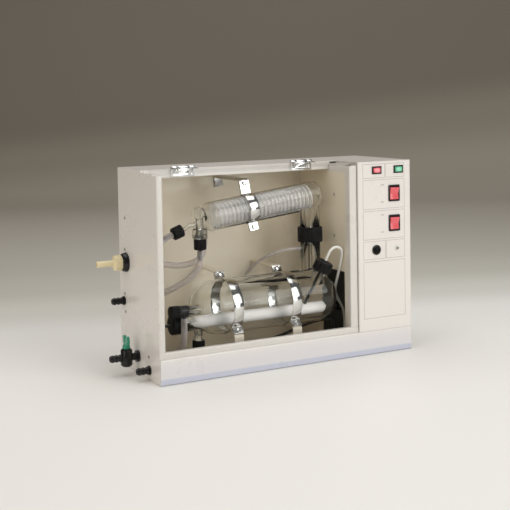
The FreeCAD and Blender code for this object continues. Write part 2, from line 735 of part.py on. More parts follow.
def boiler_glass():
    """Make the horizontal boiler with its column and its necks, blown as one vessel."""
    wall = s.boiler_wall
    depth, height = s.glass_depth, s.boiler_height
    inside_column = s.column_radius - s.neck_wall
    column_length = s.column_top - height
    outer = [
        vessel("boiler_outer", s.boiler_radius, s.boiler_left, s.boiler_right, depth, height,
               (s.left_round, s.right_round)),
        cylinder("column_outer", s.column_radius, column_length,
                 (s.column_place, depth, height)),
        cylinder("feed_outer", s.feed_radius, 110 - s.feed_end,
                 (s.feed_end, s.feed_depth, s.feed_height), "X"),
        cylinder("heater_outer", s.heater_neck_radius, 115 - s.heater_neck_end,
                 (s.heater_neck_end, depth, s.heater_height), "X"),
        cylinder("drain_outer", s.drain_radius, 95 - s.drain_end,
                 (s.drain_place, depth, s.drain_end)),
        cylinder("drain_bead", s.drain_radius + 2.2, 2.6, (s.drain_place, depth, 60)),
        cylinder("sensor_outer", SENSOR_NECK_RADIUS, SENSOR_NECK_LENGTH, SENSOR_FOOT,
                 SENSOR_AIM),
        cylinder("vent_outer", s.vent_arm_radius, s.column_place - s.vent_arm_end,
                 (s.vent_arm_end, depth, s.vent_arm_height), "X"),
    ]
    inner = [
        vessel("boiler_inner", s.boiler_radius - wall, s.boiler_left + wall,
               s.boiler_right - wall, depth, height, (s.left_round - wall, s.right_round - wall)),
        cylinder("column_inner", inside_column, column_length + 5,
                 (s.column_place, depth, height)),
        cylinder("feed_inner", s.feed_radius - s.neck_wall, 115 - s.feed_end,
                 (s.feed_end - 1, s.feed_depth, s.feed_height), "X"),
        cylinder("heater_inner", s.sheath_radius + s.cap_play, 120 - s.heater_neck_end,
                 (s.heater_neck_end - 1, depth, s.heater_height), "X"),
        cylinder("drain_inner", s.drain_radius - s.neck_wall, 100 - s.drain_end,
                 (s.drain_place, depth, s.drain_end - 1)),
        cylinder("sensor_inner", SENSOR_NECK_RADIUS - s.neck_wall, SENSOR_NECK_LENGTH + 2,
                 SENSOR_FOOT, SENSOR_AIM),
        cylinder("vent_inner", s.vent_arm_radius - 1, s.column_place - s.vent_arm_end + 1,
                 (s.vent_arm_end - 1, depth, s.vent_arm_height), "X"),
    ]
    node(cut("boiler_glass", fuse("boiler_skin", outer), inner), "boiler_glass")


def on_condenser(distance, rise=0.0):
    """Return the place a distance along the condenser and a rise square to its axis."""
    slope = math.radians(s.condenser_slope.value)
    left = s.condenser_start.value + distance * math.cos(slope) - rise * math.sin(slope)
    up = s.condenser_height.value + distance * math.sin(slope) + rise * math.cos(slope)
    return (left, s.glass_depth.value, up)


TRAP_POINTS = [(80, 75, 269), (88, 75, 272), (95, 75, 278), (105, 75, 276), (117, 75, 288)]


def condenser_glass():
    """Make the sloping jacket with its bulb, outlet, inlet trap and vapour neck."""
    wall = s.condenser_wall
    radius, length = s.condenser_radius, s.condenser_length
    start = on_condenser(0)
    joint = s.column_top + s.column_seal
    neck_top = on_condenser(240)[2]
    bulb = (s.bulb_place, s.glass_depth, BULB_HEIGHT)
    trap = bent_path(TRAP_POINTS)
    outer = [
        vessel("jacket_outer", radius, 0, length, 0, 0, (s.condenser_round, 10)),
        cylinder("neck_outer", s.column_radius, neck_top - joint,
                 (s.column_place, s.glass_depth, joint)),
        ball("bulb_outer", s.bulb_radius, bulb),
        cylinder("outlet_outer", s.outlet_radius, BULB_HEIGHT - s.outlet_end,
                 (s.outlet_place, s.glass_depth, s.outlet_end)),
        cylinder("spigot_outer", s.spigot_radius, 284 - s.spigot_end,
                 (s.spigot_place, s.spigot_depth, s.spigot_end)),
        feature("trap_outer", swept(trap, 4)),
        cylinder("trap_neck_outer", s.drain_radius, TRAP_NECK_LENGTH, TRAP_POINTS[0], TRAP_AIM),
    ]
    inner = [
        vessel("jacket_inner", radius - wall, wall, length - wall, 0, 0,
               (s.condenser_round - wall, 10 - wall)),
        cylinder("neck_inner", s.column_radius - s.neck_wall, neck_top - joint + 1,
                 (s.column_place, s.glass_depth, joint - 1)),
        ball("bulb_inner", s.bulb_radius - 2, bulb),
        cylinder("outlet_inner", s.outlet_radius - 2, BULB_HEIGHT - s.outlet_end + 1,
                 (s.outlet_place, s.glass_depth, s.outlet_end - 1)),
        cylinder("spigot_inner", s.spigot_radius - 1.5, 285 - s.spigot_end,
                 (s.spigot_place, s.spigot_depth, s.spigot_end - 1)),
        feature("trap_inner", swept(trap, 2.5)),
        cylinder("trap_neck_inner", s.drain_radius - s.neck_wall, TRAP_NECK_LENGTH,
                 beyond_trap(2), TRAP_AIM),
    ]
    for jacket, offset in ((outer[0], 0), (inner[0], wall.value)):
        put(jacket, on_condenser(offset), turned_to(CONDENSER_AXIS))
    node(cut("condenser_glass", fuse("condenser_skin", outer), inner), "condenser_glass")


def biarc(start, start_run, end, end_run):
    """Return two arcs that leave and arrive along given directions and meet smoothly."""
    chord = end - start
    runs = start_run + end_run
    bend = 2 * (1 - start_run.dot(end_run))
    across = chord.dot(runs)
    reach = (math.sqrt(across ** 2 + bend * chord.dot(chord)) - across) / bend
    first, last = start + start_run * reach, end - end_run * reach
    joint = (first + last) * 0.5
    arcs = []
    for from_point, corner, to_point in ((start, first, joint), (joint, last, end)):
        middle = (from_point + to_point) * 0.5
        inward = middle - corner
        depth = inward.Length
        inward.normalize()
        radius = reach * (to_point - from_point).Length / 2 / depth
        arcs.append(Part.Arc(from_point, corner + inward * (reach ** 2 / depth - radius), to_point))
    return arcs


def coil_axis_point(angle, radius):
    """Return a point of the coil's helix and its direction, in the condenser's own frame."""
    pitch = s.coil_pitch.value
    point = Vector(radius * math.cos(angle), radius * math.sin(angle), pitch * angle / 2 / math.pi)
    run = Vector(-radius * math.sin(angle), radius * math.cos(angle), pitch / 2 / math.pi)
    return point, run.normalize()


def condenser_coil():
    """Make the cooling coil inside the jacket as one unbroken tube."""
    tube = s.coil_tube_radius.value
    radius = s.condenser_radius.value - s.condenser_wall.value - s.cover_gap.value - tube
    edges = []
    for half_turn in range(2 * int(s.coil_turns.value)):
        start, start_run = coil_axis_point(math.pi * half_turn, radius)
        end, end_run = coil_axis_point(math.pi * (half_turn + 1), radius)
        edges += [arc.toShape() for arc in biarc(start, start_run, end, end_run)]
    start, start_run = coil_axis_point(0, radius)
    end, end_run = coil_axis_point(2 * math.pi * s.coil_turns.value, radius)
    lead_in = Part.LineSegment(start - start_run * 2 * tube, start).toShape()
    lead_out = Part.LineSegment(end, end + end_run * 2 * tube).toShape()
    path = Part.Wire([lead_in] + edges + [lead_out])
    ring = Part.Wire(Part.makeCircle(tube, start - start_run * 2 * tube, start_run))
    coil = path.makePipeShell([ring], True, False)
    points = [point for edge in path.Edges for point in edge.discretize(7)[:-1]]
    apart = 8 * 2
    gaps = [
        (point - other).Length - 2 * tube
        for index, point in enumerate(points)
        for other in points[index + apart:index + 40]]
    print("condenser_coil: length %.0f, least gap between turns %.2f" % (path.Length, min(gaps)))
    item = feature("condenser_coil", coil)
    put(item, on_condenser(s.coil_start.value), turned_to(CONDENSER_AXIS))
    node(item, "condenser_coil")


INLET_AIM_ANGLE = math.radians(20)
TRAP_AIM = Vector(-math.cos(INLET_AIM_ANGLE), 0, -math.sin(INLET_AIM_ANGLE))
TRAP_NECK_LENGTH = 13
OUTLET_CAP_TOP = 249


def beyond_trap(distance):
    """Return the place a distance out along the condenser's inlet neck."""
    return tuple(part + distance * step for part, step in zip(TRAP_POINTS[0], TRAP_AIM))


def caps():
    """Make the seal, the outlet cup and the screw caps of the glassware."""
    depth = s.glass_depth
    seal = cut(
        "seal_ring",
        cylinder("seal_outer", s.column_radius, s.column_seal,
                 (s.column_place, depth, s.column_top)),
        [cylinder("seal_inner", s.column_radius - 2 * s.neck_wall, s.column_seal,
                  (s.column_place, depth, s.column_top))])
    node(seal, "column_seal_ring")
    cap_foot = s.column_top + s.column_seal / 2 - s.large_cap_height * 0.72
    screw_cap("column_cap", s.large_cap_radius, s.large_cap_height, s.column_radius,
              s.column_radius + s.cap_play, (s.column_place, depth, cap_foot), "Z", 28)
    cup = revolved("outlet_cup_ring", (s.outlet_place, depth, 250), points=[
        (s.outlet_radius, 0), (13, 0), (14.5, 3), (14.5, 16.5), (12.5, 19.5),
        (s.outlet_radius, 19.5), (s.outlet_radius, 17.5), (11.5, 17), (12.3, 15), (12.3, 4),
        (s.outlet_radius, 2.5)])
    node(cup, "outlet_cup")
    radius, height = s.small_cap_radius, s.small_cap_height
    tail_hole = s.tail_root + 0.3
    screw_cap("outlet_cap", radius, height, s.outlet_radius, tail_hole,
              (s.outlet_place, depth, OUTLET_CAP_TOP), "-Z", 18)
    screw_cap("inlet_cap", radius, height, s.drain_radius, tail_hole, beyond_trap(1), TRAP_AIM, 18)
    screw_cap("feed_cap", radius, Size(17, "(17)"), s.feed_radius - 1, 0,
              (s.feed_end - 6, s.feed_depth, s.feed_height), "-X", 18)
    screw_cap("heater_cap", s.middle_cap_radius, s.middle_cap_height, s.heater_neck_radius,
              s.heater_lead_diameter / 2 + 0.3,
              (s.heater_neck_end + 4, depth, s.heater_height), "-X", 22)
    screw_cap("drain_cap", radius, height, s.drain_radius, 0,
              (s.drain_place, depth, s.drain_end + height - s.cap_top - 1), "-Z", 18)
    screw_cap("sensor_cap", s.middle_cap_radius, s.small_cap_height, SENSOR_NECK_RADIUS,
              Size(5.3, "(5.3)"), along_sensor(SENSOR_NECK_LENGTH - 14), SENSOR_AIM, 10,
              Size(2.6, "(2.6)"))


def hose_tails():
    """Make the hose tails held by the caps, and the elbow that joins the feed hose."""
    wall = s.small_cap_height - s.cap_top
    tails = [
        revolved("outlet_tail", (s.outlet_place, s.glass_depth, s.outlet_end), "-Z",
                 points=tail_points(wall - OUTLET_CAP_TOP + s.outlet_end)),
        revolved("inlet_tail", beyond_trap(TRAP_NECK_LENGTH), TRAP_AIM,
                 points=tail_points(wall + 1 - TRAP_NECK_LENGTH))]
    node(group("hose_tails", tails), "hose_tails")
    elbow = fuse("feed_elbow_solid", [
        cylinder("elbow_barrel", s.feed_radius + 2, 18,
                 (s.feed_end - 5.6, s.feed_depth, s.feed_height), "X"),
        cylinder("elbow_stub", s.feed_radius - 1, 12,
                 (s.feed_end - 17.6, s.feed_depth, s.feed_height), "X"),
        cylinder("elbow_tail", s.tail_root, 30,
                 (FEED_TAIL[0], FEED_TAIL[1], s.feed_height - 32)),
    ])
    node(cut("feed_elbow", elbow, [cylinder(
        "elbow_socket", s.feed_radius, 30, (s.feed_end, s.feed_depth, s.feed_height), "X")]),
        "feed_elbow")


def tail_points(wall):
    """Return the half section of a hose tail whose collar a cap holds against its neck."""
    collar = wall - 0.3
    tip = wall + s.cap_top + 20
    root, crest = s.tail_root, s.tail_crest
    return [(1.8, 0), (root + 2.6, 0), (root + 2.6, collar), (root, collar),
            (root, tip - 16), (crest, tip - 15), (crest, tip - 13), (root, tip - 8),
            (crest, tip - 7), (crest, tip - 5), (root, tip), (1.8, tip)]


def heater():
    """Make the sheathed heater, its element and the temperature probe."""
    depth, height = s.glass_depth, s.heater_height
    radius, wall = s.sheath_radius, s.sheath_wall
    tube = vessel("sheath_outer", radius, s.sheath_start, s.sheath_end, depth, height,
                  (0, radius))
    flange = cylinder("sheath_flange", s.heater_neck_radius - 0.2, 3,
                      (s.heater_neck_end, depth, height), "-X")
    skin = fuse("sheath_skin", [tube, flange])
    hollow = vessel("sheath_inner", radius - wall, s.sheath_start - 1, s.sheath_end - wall,
                    depth, height, (0, radius - wall))
    node(cut("heater_sheath", skin, [hollow]), "heater_sheath")
    core = cylinder("heater_core", radius - wall,
                    s.sheath_end - s.sheath_start - 2 * radius,
                    (s.sheath_start, depth, height), "X")
    node(core, "heater_element")
    tip = along_sensor(-40)
    length = 40 + SENSOR_NECK_LENGTH
    probe = fuse("probe_parts", [
        cylinder("probe_rod", 3, length, tip, SENSOR_AIM),
        cylinder("probe_plug", SENSOR_NECK_RADIUS - s.neck_wall, 9,
                 along_sensor(SENSOR_NECK_LENGTH - 9), SENSOR_AIM),
        cylinder("probe_head", 5, 9, along_sensor(SENSOR_NECK_LENGTH), SENSOR_AIM)])
    node(probe, "level_probe")


# Clamps and brackets

def band_half(radius, start, end, lugs, way):
    """Return half a clamp band with a lug at each end, way 1 for the front half."""
    inner = radius + s.band_gap.value
    thickness = s.band_thickness.value
    outer = inner + thickness
    gap = s.lug_gap.value / 2
    ends = []
    for angle, sense, lug in ((start, way, lugs[0]), (end, -way, lugs[1])):
        turn = math.radians(angle)
        out = Vector(math.cos(turn), math.sin(turn), 0)
        across = Vector(-math.sin(turn), math.cos(turn), 0) * sense
        foot = [out * math.sqrt(size ** 2 - shift ** 2) + across * shift
                for size, shift in ((inner, gap), (outer, gap + thickness))]
        tips = [out * (outer + lug) + across * shift for shift in (gap, gap + thickness)]
        ends.append((foot, tips))
    middle = math.radians((start + end) / 2 + (0 if way > 0 else 180))
    bow = Vector(math.cos(middle), math.sin(middle), 0)
    (first_foot, first_tips), (last_foot, last_tips) = ends
    edges = [
        Part.Arc(first_foot[0], bow * inner, last_foot[0]),
        Part.LineSegment(last_foot[0], last_tips[0]),
        Part.LineSegment(last_tips[0], last_tips[1]),
        Part.LineSegment(last_tips[1], last_foot[1]),
        Part.Arc(last_foot[1], bow * outer, first_foot[1]),
        Part.LineSegment(first_foot[1], first_tips[1]),
        Part.LineSegment(first_tips[1], first_tips[0]),
        Part.LineSegment(first_tips[0], first_foot[0])]
    return edges


def lug_bolt(angle, reach):
    """Return the centre of a lug's bolt and its direction, in the band's own plane."""
    turn = math.radians(angle)
    centre = Vector(0, math.cos(turn), math.sin(turn)) * reach
    return centre, Vector(0, -math.sin(turn), math.cos(turn))


def clamp(name, radius, angles, lugs, straps, place, tilt):
    """Return the two halves and the two bolts of a band clamp about the glass.

    A strap lies before (-1) or behind (1) a lug, or there is none (0).
    """
    turn = Rotation(Vector(0, 1, 0), -tilt)
    halves, bolts = [], []
    half_width = s.band_width.value / 2
    outer = radius + s.band_gap.value + s.band_thickness.value
    stack = s.lug_gap.value / 2 + s.band_thickness.value
    for way in (1, -1):
        edges = band_half(radius, angles[0], angles[1], lugs, way)
        half = padded("%s_half_%d" % (name, way), "YZ_Plane", s.band_width, place, edges=edges)
        put(half, place, turn)
        half.Placement = half.Placement.multiply(Placement(Vector(-half_width, 0, 0), Rotation()))
        for axis in "xyz":
            half.setExpression("Placement.Base." + axis, None)
        halves.append(half)
    for index, (angle, lug, strap) in enumerate(zip(angles, lugs, straps)):
        centre, run = lug_bolt(angle, outer + lug - 6)
        shank = s.bolt_radius.value
        low, high = (
            stack + (s.bracket_thickness.value if strap == side else 0) for side in (-1, 1))
        parts = [
            Part.makeCylinder(shank, low + high + 3, centre - run * (low + 1.5), run),
            Part.makeCylinder(4.2, 3, centre - run * (low + 3), run),
            Part.makeCylinder(3.9, 2.6, centre + run * high, run)]
        bolt = parts[0].fuse(parts[1:]).removeSplitter()
        bolts.append(feature("%s_bolt_%d" % (name, index), bolt, place, turn))
    for index, half in enumerate(halves):
        halves[index] = cut(
            "%s_band_%d" % (name, index), half,
            [shank_tool(name, index, number, angle, outer + lug - 6, place, turn)
             for number, (angle, lug) in enumerate(zip(angles, lugs))])
    return halves, bolts


def shank_tool(name, half, number, angle, reach, place, turn):
    """Return the cutter for a bolt hole through a clamp's lugs."""
    centre, run = lug_bolt(angle, reach)
    shape = Part.makeCylinder(s.bolt_radius.value, 24, centre - run * 12, run)
    return feature("%s_shank_%d_%d" % (name, half, number), shape, place, turn)


def bracket(name, radius, angle, lug, ends, side, place, tilt):
    """Return a folded strap that carries a clamp's lug from the floor or the back."""
    outer = radius + s.band_gap.value + s.band_thickness.value
    stack = s.lug_gap.value / 2 + s.band_thickness.value
    turn = math.radians(angle)
    out = Vector(math.cos(turn), math.sin(turn), 0)
    across = Vector(-math.sin(turn), math.cos(turn), 0) * side
    path = [out * (outer + reach) + across * stack for reach in (1.5, lug + 3)]
    path = [(point.x, point.y) for point in path] + ends(path[1])
    edges = strip_outline(path, s.bracket_thickness.value, 1.5, side)
    strap = padded(name + "_strap", "YZ_Plane", s.band_width, place, edges=edges)
    rotation = Rotation(Vector(0, 1, 0), -tilt)
    put(strap, place, rotation)
    shift = Placement(Vector(-s.band_width.value / 2, 0, 0), Rotation())
    for axis in "xyz":
        strap.setExpression("Placement.Base." + axis, None)
    strap.Placement = Placement(spot(place), rotation).multiply(shift)
    tool = shank_tool(name, 0, 0, angle, outer + lug - 6, place, rotation)
    return cut(name, strap, [tool])


def clamps():
    """Make the clamps of boiler and condenser, and the straps that carry them."""
    boiler_angles, condenser_angles = (61, 222), (84, 250)
    boiler_lugs = (s.lug_length.value, s.lug_length.value)
    condenser_lugs = (s.tall_lug_length.value, s.lug_length.value)
    radius = s.boiler_radius.value
    bands, bolts, straps = [], [], []
    back = REAR_INNER.value - s.glass_depth.value
    floor = s.sheet_wall.value - s.boiler_height.value

    def to_floor(point):
        return [(point.x, floor), (point.x + 22, floor)]

    def to_back(point):
        return [(back, point.y), (back, point.y - 22)]

    for name, left in (("clamp_one", s.clamp_one), ("clamp_two", s.clamp_two)):
        place = (left, s.glass_depth, s.boiler_height)
        halves, pair = clamp(name, radius, boiler_angles, boiler_lugs, (-1, 1), place, 0)
        bands += halves
        bolts += pair
        straps.append(bracket(
            name + "_foot", radius, boiler_angles[1], boiler_lugs[1], to_floor, 1, place, 0))
        straps.append(bracket(
            name + "_arm", radius, boiler_angles[0], boiler_lugs[0], to_back, -1, place, 0))
    node(group("boiler_clamps", bands), "boiler_clamps")
    node(group("boiler_straps", straps), "boiler_straps")
    place = on_condenser(s.condenser_clamp.value)
    radius = s.condenser_radius.value
    tilt = s.condenser_slope.value
    halves, pair = clamp(
        "condenser_band", radius, condenser_angles, condenser_lugs, (-1, 0), place, tilt)
    node(group("condenser_clamp", halves), "condenser_clamp")
    node(group("clamp_bolts", bolts + pair), "clamp_bolts")
    node(bracket("condenser_strap", radius, condenser_angles[0], condenser_lugs[0], to_back, -1,
                 place, tilt), "condenser_strap")


# Fittings on the left wall

def inner_tail(name, depth, height, aim):
    """Return the elbow and hose tail of a wall fitting, inside the case."""
    elbow = (s.elbow_reach, depth, height)
    run = Vector(*aim).normalize()
    tip = s.elbow_radius + 22
    profile = [(0, 0), (s.tail_root, 0), (s.tail_root, s.elbow_radius + 3),
               (s.tail_crest, s.elbow_radius + 4), (s.tail_crest, s.elbow_radius + 6),
               (s.tail_root, s.elbow_radius + 12), (s.tail_crest, s.elbow_radius + 13),
               (s.tail_crest, s.elbow_radius + 15), (s.tail_root, tip), (0, tip)]
    return [ball(name + "_elbow", s.elbow_radius, elbow),
            revolved(name + "_tail", elbow, run, points=profile)]


def tail_start(depth, height, aim):
    """Return the two hose points at a wall fitting, from its elbow to its tip."""
    run = Vector(*aim).normalize()
    reaches = (s.elbow_radius.value + 1, s.elbow_radius.value + 24)
    return [(s.elbow_reach.value + run.x * reach, float(depth) + run.y * reach,
             float(height) + run.z * reach) for reach in reaches]


OUTLET_AIM = (0.25, -0.97, 0.0)
NOZZLE_AIM = (0.35, -0.94, 0.0)
INLET_AIM = (0.0, 0.0, 1.0)
TAP_AIM = (0.8, -0.6, 0.0)


def plain_barb(label, depth, height, aim):
    """Return a barbed hose connector through the left wall."""
    flange = s.barb_crest + 1.6
    outside = revolved(label + "_barb", (-3, depth, height), "-X",
                       points=barb_points(s.barb_root, s.barb_crest, 0, 0))
    foot = cylinder(label + "_flange", flange, 3, (0, depth, height), "-X")
    stub = cylinder(label + "_stub", s.stub_radius, s.elbow_reach, (0, depth, height), "X")
    parts = fuse(label + "_parts", [outside, foot, stub] + inner_tail(label, depth, height, aim))
    length = s.barb_pitch * s.barb_ridges + 8
    bore = cylinder(label + "_bore", 3, length + s.elbow_reach, (-length, depth, height), "X")
    return cut(label, parts, [bore])


def water_barbs():
    """Make the barbs for the cooling water's way in and out."""
    barbs = [plain_barb("outlet_barb", s.outlet_depth, s.outlet_height, OUTLET_AIM),
             plain_barb("inlet_barb", s.inlet_depth, s.inlet_height, INLET_AIM)]
    node(group("water_barbs", barbs), "water_barbs")


def nozzle():
    """Make the pale distillate nozzle with its ribbed collar and dark wall ring."""
    depth, height = s.nozzle_depth, s.nozzle_height
    radius, root = s.nozzle_radius, s.nozzle_root
    start = 12
    profile = [
        (0, 0), (root + 7, 0), (root + 7.5, 2), (root + 6.5, 13), (root + 1, 14.5),
        (radius, 16), (radius, 18 + s.nozzle_length), (radius - 1, 19 + s.nozzle_length),
        (0, 19 + s.nozzle_length)]
    collar = revolved("nozzle_body", (-start, depth, height), "-X", points=profile)
    stub = cylinder("nozzle_stub", root, start + s.elbow_reach, (-start, depth, height), "X")
    parts = fuse("nozzle_parts", [collar, stub] + inner_tail(
        "nozzle", depth, height, NOZZLE_AIM))
    bore = cylinder("nozzle_bore", 3.5, 70 + s.elbow_reach, (-70, depth, height), "X")
    node(cut("distillate_nozzle", parts, [bore]), "distillate_nozzle")
    ring = revolved("nozzle_ring", (0, depth, height), "-X", points=[
        (root, 0), (18.5, 0), (18.5, 3), (17, 8), (14.5, start), (root, start)])
    node(ring, "nozzle_ring")


def tap():
    """Make the drain tap: its body through the wall and its butterfly handle."""
    depth, height = s.tap_depth, s.tap_height
    body_left = 24
    rise = s.tap_body_height / 2
    flange = cylinder("tap_flange", 11, 5, (0, depth, height), "-X")
    neck = cylinder("tap_neck", 7, body_left, (0, depth, height), "-X")
    shell = revolved("tap_shell", (-body_left, depth, height - rise), points=[
        (0, 0), (s.tap_body_radius - 3, 0), (s.tap_body_radius, 3),
        (s.tap_body_radius, s.tap_body_height - 3), (s.tap_body_radius - 2, s.tap_body_height),
        (0, s.tap_body_height)])
    barb = revolved("tap_barb", (-body_left - s.tap_body_radius + 1, depth, height), "-X",
                    points=barb_points(s.barb_root, s.barb_crest, 0, 0))
    stub = cylinder("tap_stub", s.stub_radius, s.elbow_reach, (0, depth, height), "X")
    parts = fuse("tap_parts", [flange, neck, shell, barb, stub] + inner_tail(
        "tap", depth, height, TAP_AIM))
    length = body_left + s.tap_body_radius + s.barb_pitch * s.barb_ridges + 2
    top = height + rise
    socket = cylinder("tap_socket", 4 + s.pin_play, 12, (-body_left, depth, top - 12))
    bore = cylinder("tap_bore", 3, length + s.elbow_reach, (-length, depth, height), "X")
    node(cut("tap_body", parts, [bore, socket]), "tap_body")
    hub = revolved("tap_hub", (-body_left, depth, top + s.moving_gap), points=[
        (0, -11), (4, -11), (4, 0), (7, 0), (7.5, 2), (6.5, 7), (0, 8)])
    wings = []
    for index, side in enumerate((-1, 1)):
        edges = rounded_outline(
            [(0, 0), (side * 6, 0), (side * 13, 14), (side * 12, 24), (side * 5, 24),
             (side * 2, 14), (0, 9)][::side],
            [0, 1.5, 6, 3.5, 3.5, 5, 0][::side])
        wing = padded("tap_wing_%d" % index, "YZ_Plane", 5.0,
                      (-body_left - 2.5, depth, top + s.moving_gap), edges=edges)
        wings.append(wing)
    node(fuse("tap_handle", [hub] + wings), "tap_handle")


def wall_nuts():
    """Make the nuts that hold the four fittings from inside the case."""
    spots = [(s.outlet_depth, s.outlet_height, s.stub_radius),
             (s.inlet_depth, s.inlet_height, s.stub_radius),
             (s.tap_depth, s.tap_height, s.stub_radius),
             (s.nozzle_depth, s.nozzle_height, s.nozzle_root)]
    nuts = []
    for index, (depth, height, bore) in enumerate(spots):
        prism = doc.addObject("Part::Prism", "nut_prism_%d" % index)
        prism.Polygon = 6
        bind(prism, "Circumradius", bore + s.nut_radius - s.stub_radius)
        bind(prism, "Height", s.nut_height)
        put(prism, (s.sheet_wall, depth, height), turned_to("X"))
        nuts.append(cut("wall_nut_%d" % index, prism, [cylinder(
            "nut_bore_%d" % index, bore, s.nut_height, (s.sheet_wall, depth, height), "X")]))
    node(group("wall_nuts", nuts), "wall_nuts")


# Control box

def lamps():
    """Make the two indicator lamps: bezels behind the panel and coloured lenses."""
    bezels = []
    for index, (place, label) in enumerate((
            (s.red_lamp_place, "red_lens"), (s.green_lamp_place, "green_lens"))):
        rim = centred_box("lamp_rim_%d" % index, s.lamp_width, 3, s.lamp_height,
                          (place, 0, LAMP_ROW))
        put(rim, (place - s.lamp_width / 2, -1.5, LAMP_ROW - s.lamp_height / 2))
        rim.setExpression("Width", None)
        rim.Width = 1.5
        shell = box("lamp_shell_%d" % index, (s.lamp_width - 4, 18, s.lamp_height - 4),
                    (place - s.lamp_width / 2 + 2, 0, LAMP_ROW - s.lamp_height / 2 + 2))
        pocket = box("lamp_pocket_%d" % index, (s.lamp_width - 6, 8, s.lamp_height - 6),
                     (place - s.lamp_width / 2 + 3, -2, LAMP_ROW - s.lamp_height / 2 + 3))
        bezels.append(cut("lamp_bezel_%d" % index, fuse(
            "lamp_case_%d" % index, [rim, shell]), [pocket]))
        lens = padded(label + "_pad", "XY_Plane", s.lamp_height - 6,
                      (place, 0, LAMP_ROW - s.lamp_height / 2 + 3), edges=rounded_outline(
            [(-s.lamp_width / 2 + 3, 5), (-s.lamp_width / 2 + 3, -3.2),
             (s.lamp_width / 2 - 3, -3.2), (s.lamp_width / 2 - 3, 5)], [0, 1.4, 1.4, 0]))
        node(lens, label)
    node(group("lamp_bezels", bezels), "lamp_bezels")


def rockers():
    """Make the two rocker switches, each tilted to its off side."""
    width, height = s.rocker_width, s.rocker_height
    rim = s.bezel_rim
    bezels = []
    for index, (row, label) in enumerate((
            (UPPER_ROCKER_ROW, "upper_rocker"), (LOWER_ROCKER_ROW, "lower_rocker"))):
        low = row - height / 2
        left = s.rocker_place - width / 2
        frame = padded("rocker_frame_%d" % index, "XZ_Plane", s.bezel_height,
                       (s.rocker_place, 0, row), edges=rounded_outline(
            [(-width / 2, -height / 2), (width / 2, -height / 2),
             (width / 2, height / 2), (-width / 2, height / 2)], [2, 2, 2, 2]))
        shell = box("rocker_shell_%d" % index, (width - 3, 24, height - 3),
                    (left + 1.5, 0, low + 1.5))
        pocket = box("rocker_pocket_%d" % index, (width - 2 * rim, 16, height - 2 * rim),
                     (left + rim, -4, low + rim))
        case = cut("rocker_case_%d" % index, fuse(
            "rocker_solid_%d" % index, [frame, shell]), [pocket])
        pin = cylinder("rocker_pin_%d" % index, 1.5, width - 2 * rim,
                       (left + rim, 3, row), "X")
        bezels.append(fuse("rocker_bezel_%d" % index, [case, pin]))
        reach = height / 2 - rim - 1.3
        half = (width - 2 * rim) / 2 - s.moving_gap
        key = padded(label + "_key", "YZ_Plane", 2 * half, (s.rocker_place - half, 3, row),
                     edges=rounded_outline(
            [(-7.4, -reach), (-4.6, 0), (-7.4, reach), (1.0, reach - 0.6), (5, 3), (5, -3),
             (1.0, -reach + 0.6)], [1, 6, 1, 1, 1, 1, 1]))
        put(key, (s.rocker_place - half, 3, row),
            Rotation(Vector(1, 0, 0), s.rocker_tilt.value))
        bore = cylinder(label + "_bore", 1.5 + s.pin_play, width, (left, 3, row), "X")
        node(cut(label, key, [bore]), label)
    node(group("rocker_bezels", bezels), "rocker_bezels")


def fuse_and_reset():
    """Make the fuse holder with its turning carrier and the cut-out with its reset button."""
    place, row = s.fuse_place, FUSE_ROW
    holder = revolved("fuse_holder", (place, 0, row), "-Y", points=[
        (6.6, -26), (s.fuse_radius - 2, -26), (s.fuse_radius - 2, 0), (s.fuse_radius, 0),
        (s.fuse_radius, 1.6), (s.fuse_radius - 1.2, 2.6), (7, 2.6), (7, -3), (6.6, -3)])
    node(holder, "fuse_holder")
    knob = revolved("fuse_knob", (place, 0, row), "-Y", points=[
        (0, -24), (6.2, -24), (6.2, -2.4), (6.6, -2.4), (6.6, 5), (5.6, 6), (0, 6)])
    slot = centred_box("fuse_slot", 9, 4, 1.6, (place, -6, row))
    node(cut("fuse_carrier", knob, [slot]), "fuse_carrier")
    rim = revolved("cutout_rim", (s.reset_place, 0, row), "-Y", points=[
        (s.reset_radius + s.pin_play, -8), (11, -8), (11, -4), (s.reset_radius + 1.4, -3),
        (s.reset_radius + 1.4, 0), (s.reset_radius + 3, 0), (s.reset_radius + 2.4, 1.6),
        (s.reset_radius + s.pin_play, 1.6)])
    back = revolved("cutout_back", (s.reset_place, 8, row), "Y", points=[
        (0, 4), (9.5, 4), (9.5, 22), (0, 22)])
    side = revolved("cutout_side", (s.reset_place, 8, row), "Y", points=[
        (9.5, 0), (11, 0), (11, 22), (9.5, 22)])
    node(fuse("thermal_cutout", [rim, back, side]), "thermal_cutout")
    button = revolved("reset_button", (s.reset_place, 0, row), "-Y", points=[
        (0, -9.5), (4, -9.5), (4, -8.3), (s.reset_radius, -8.3), (s.reset_radius, 2.9),
        (s.reset_radius - 0.6, 3.5), (0, 3.5)])
    node(button, "reset_button")


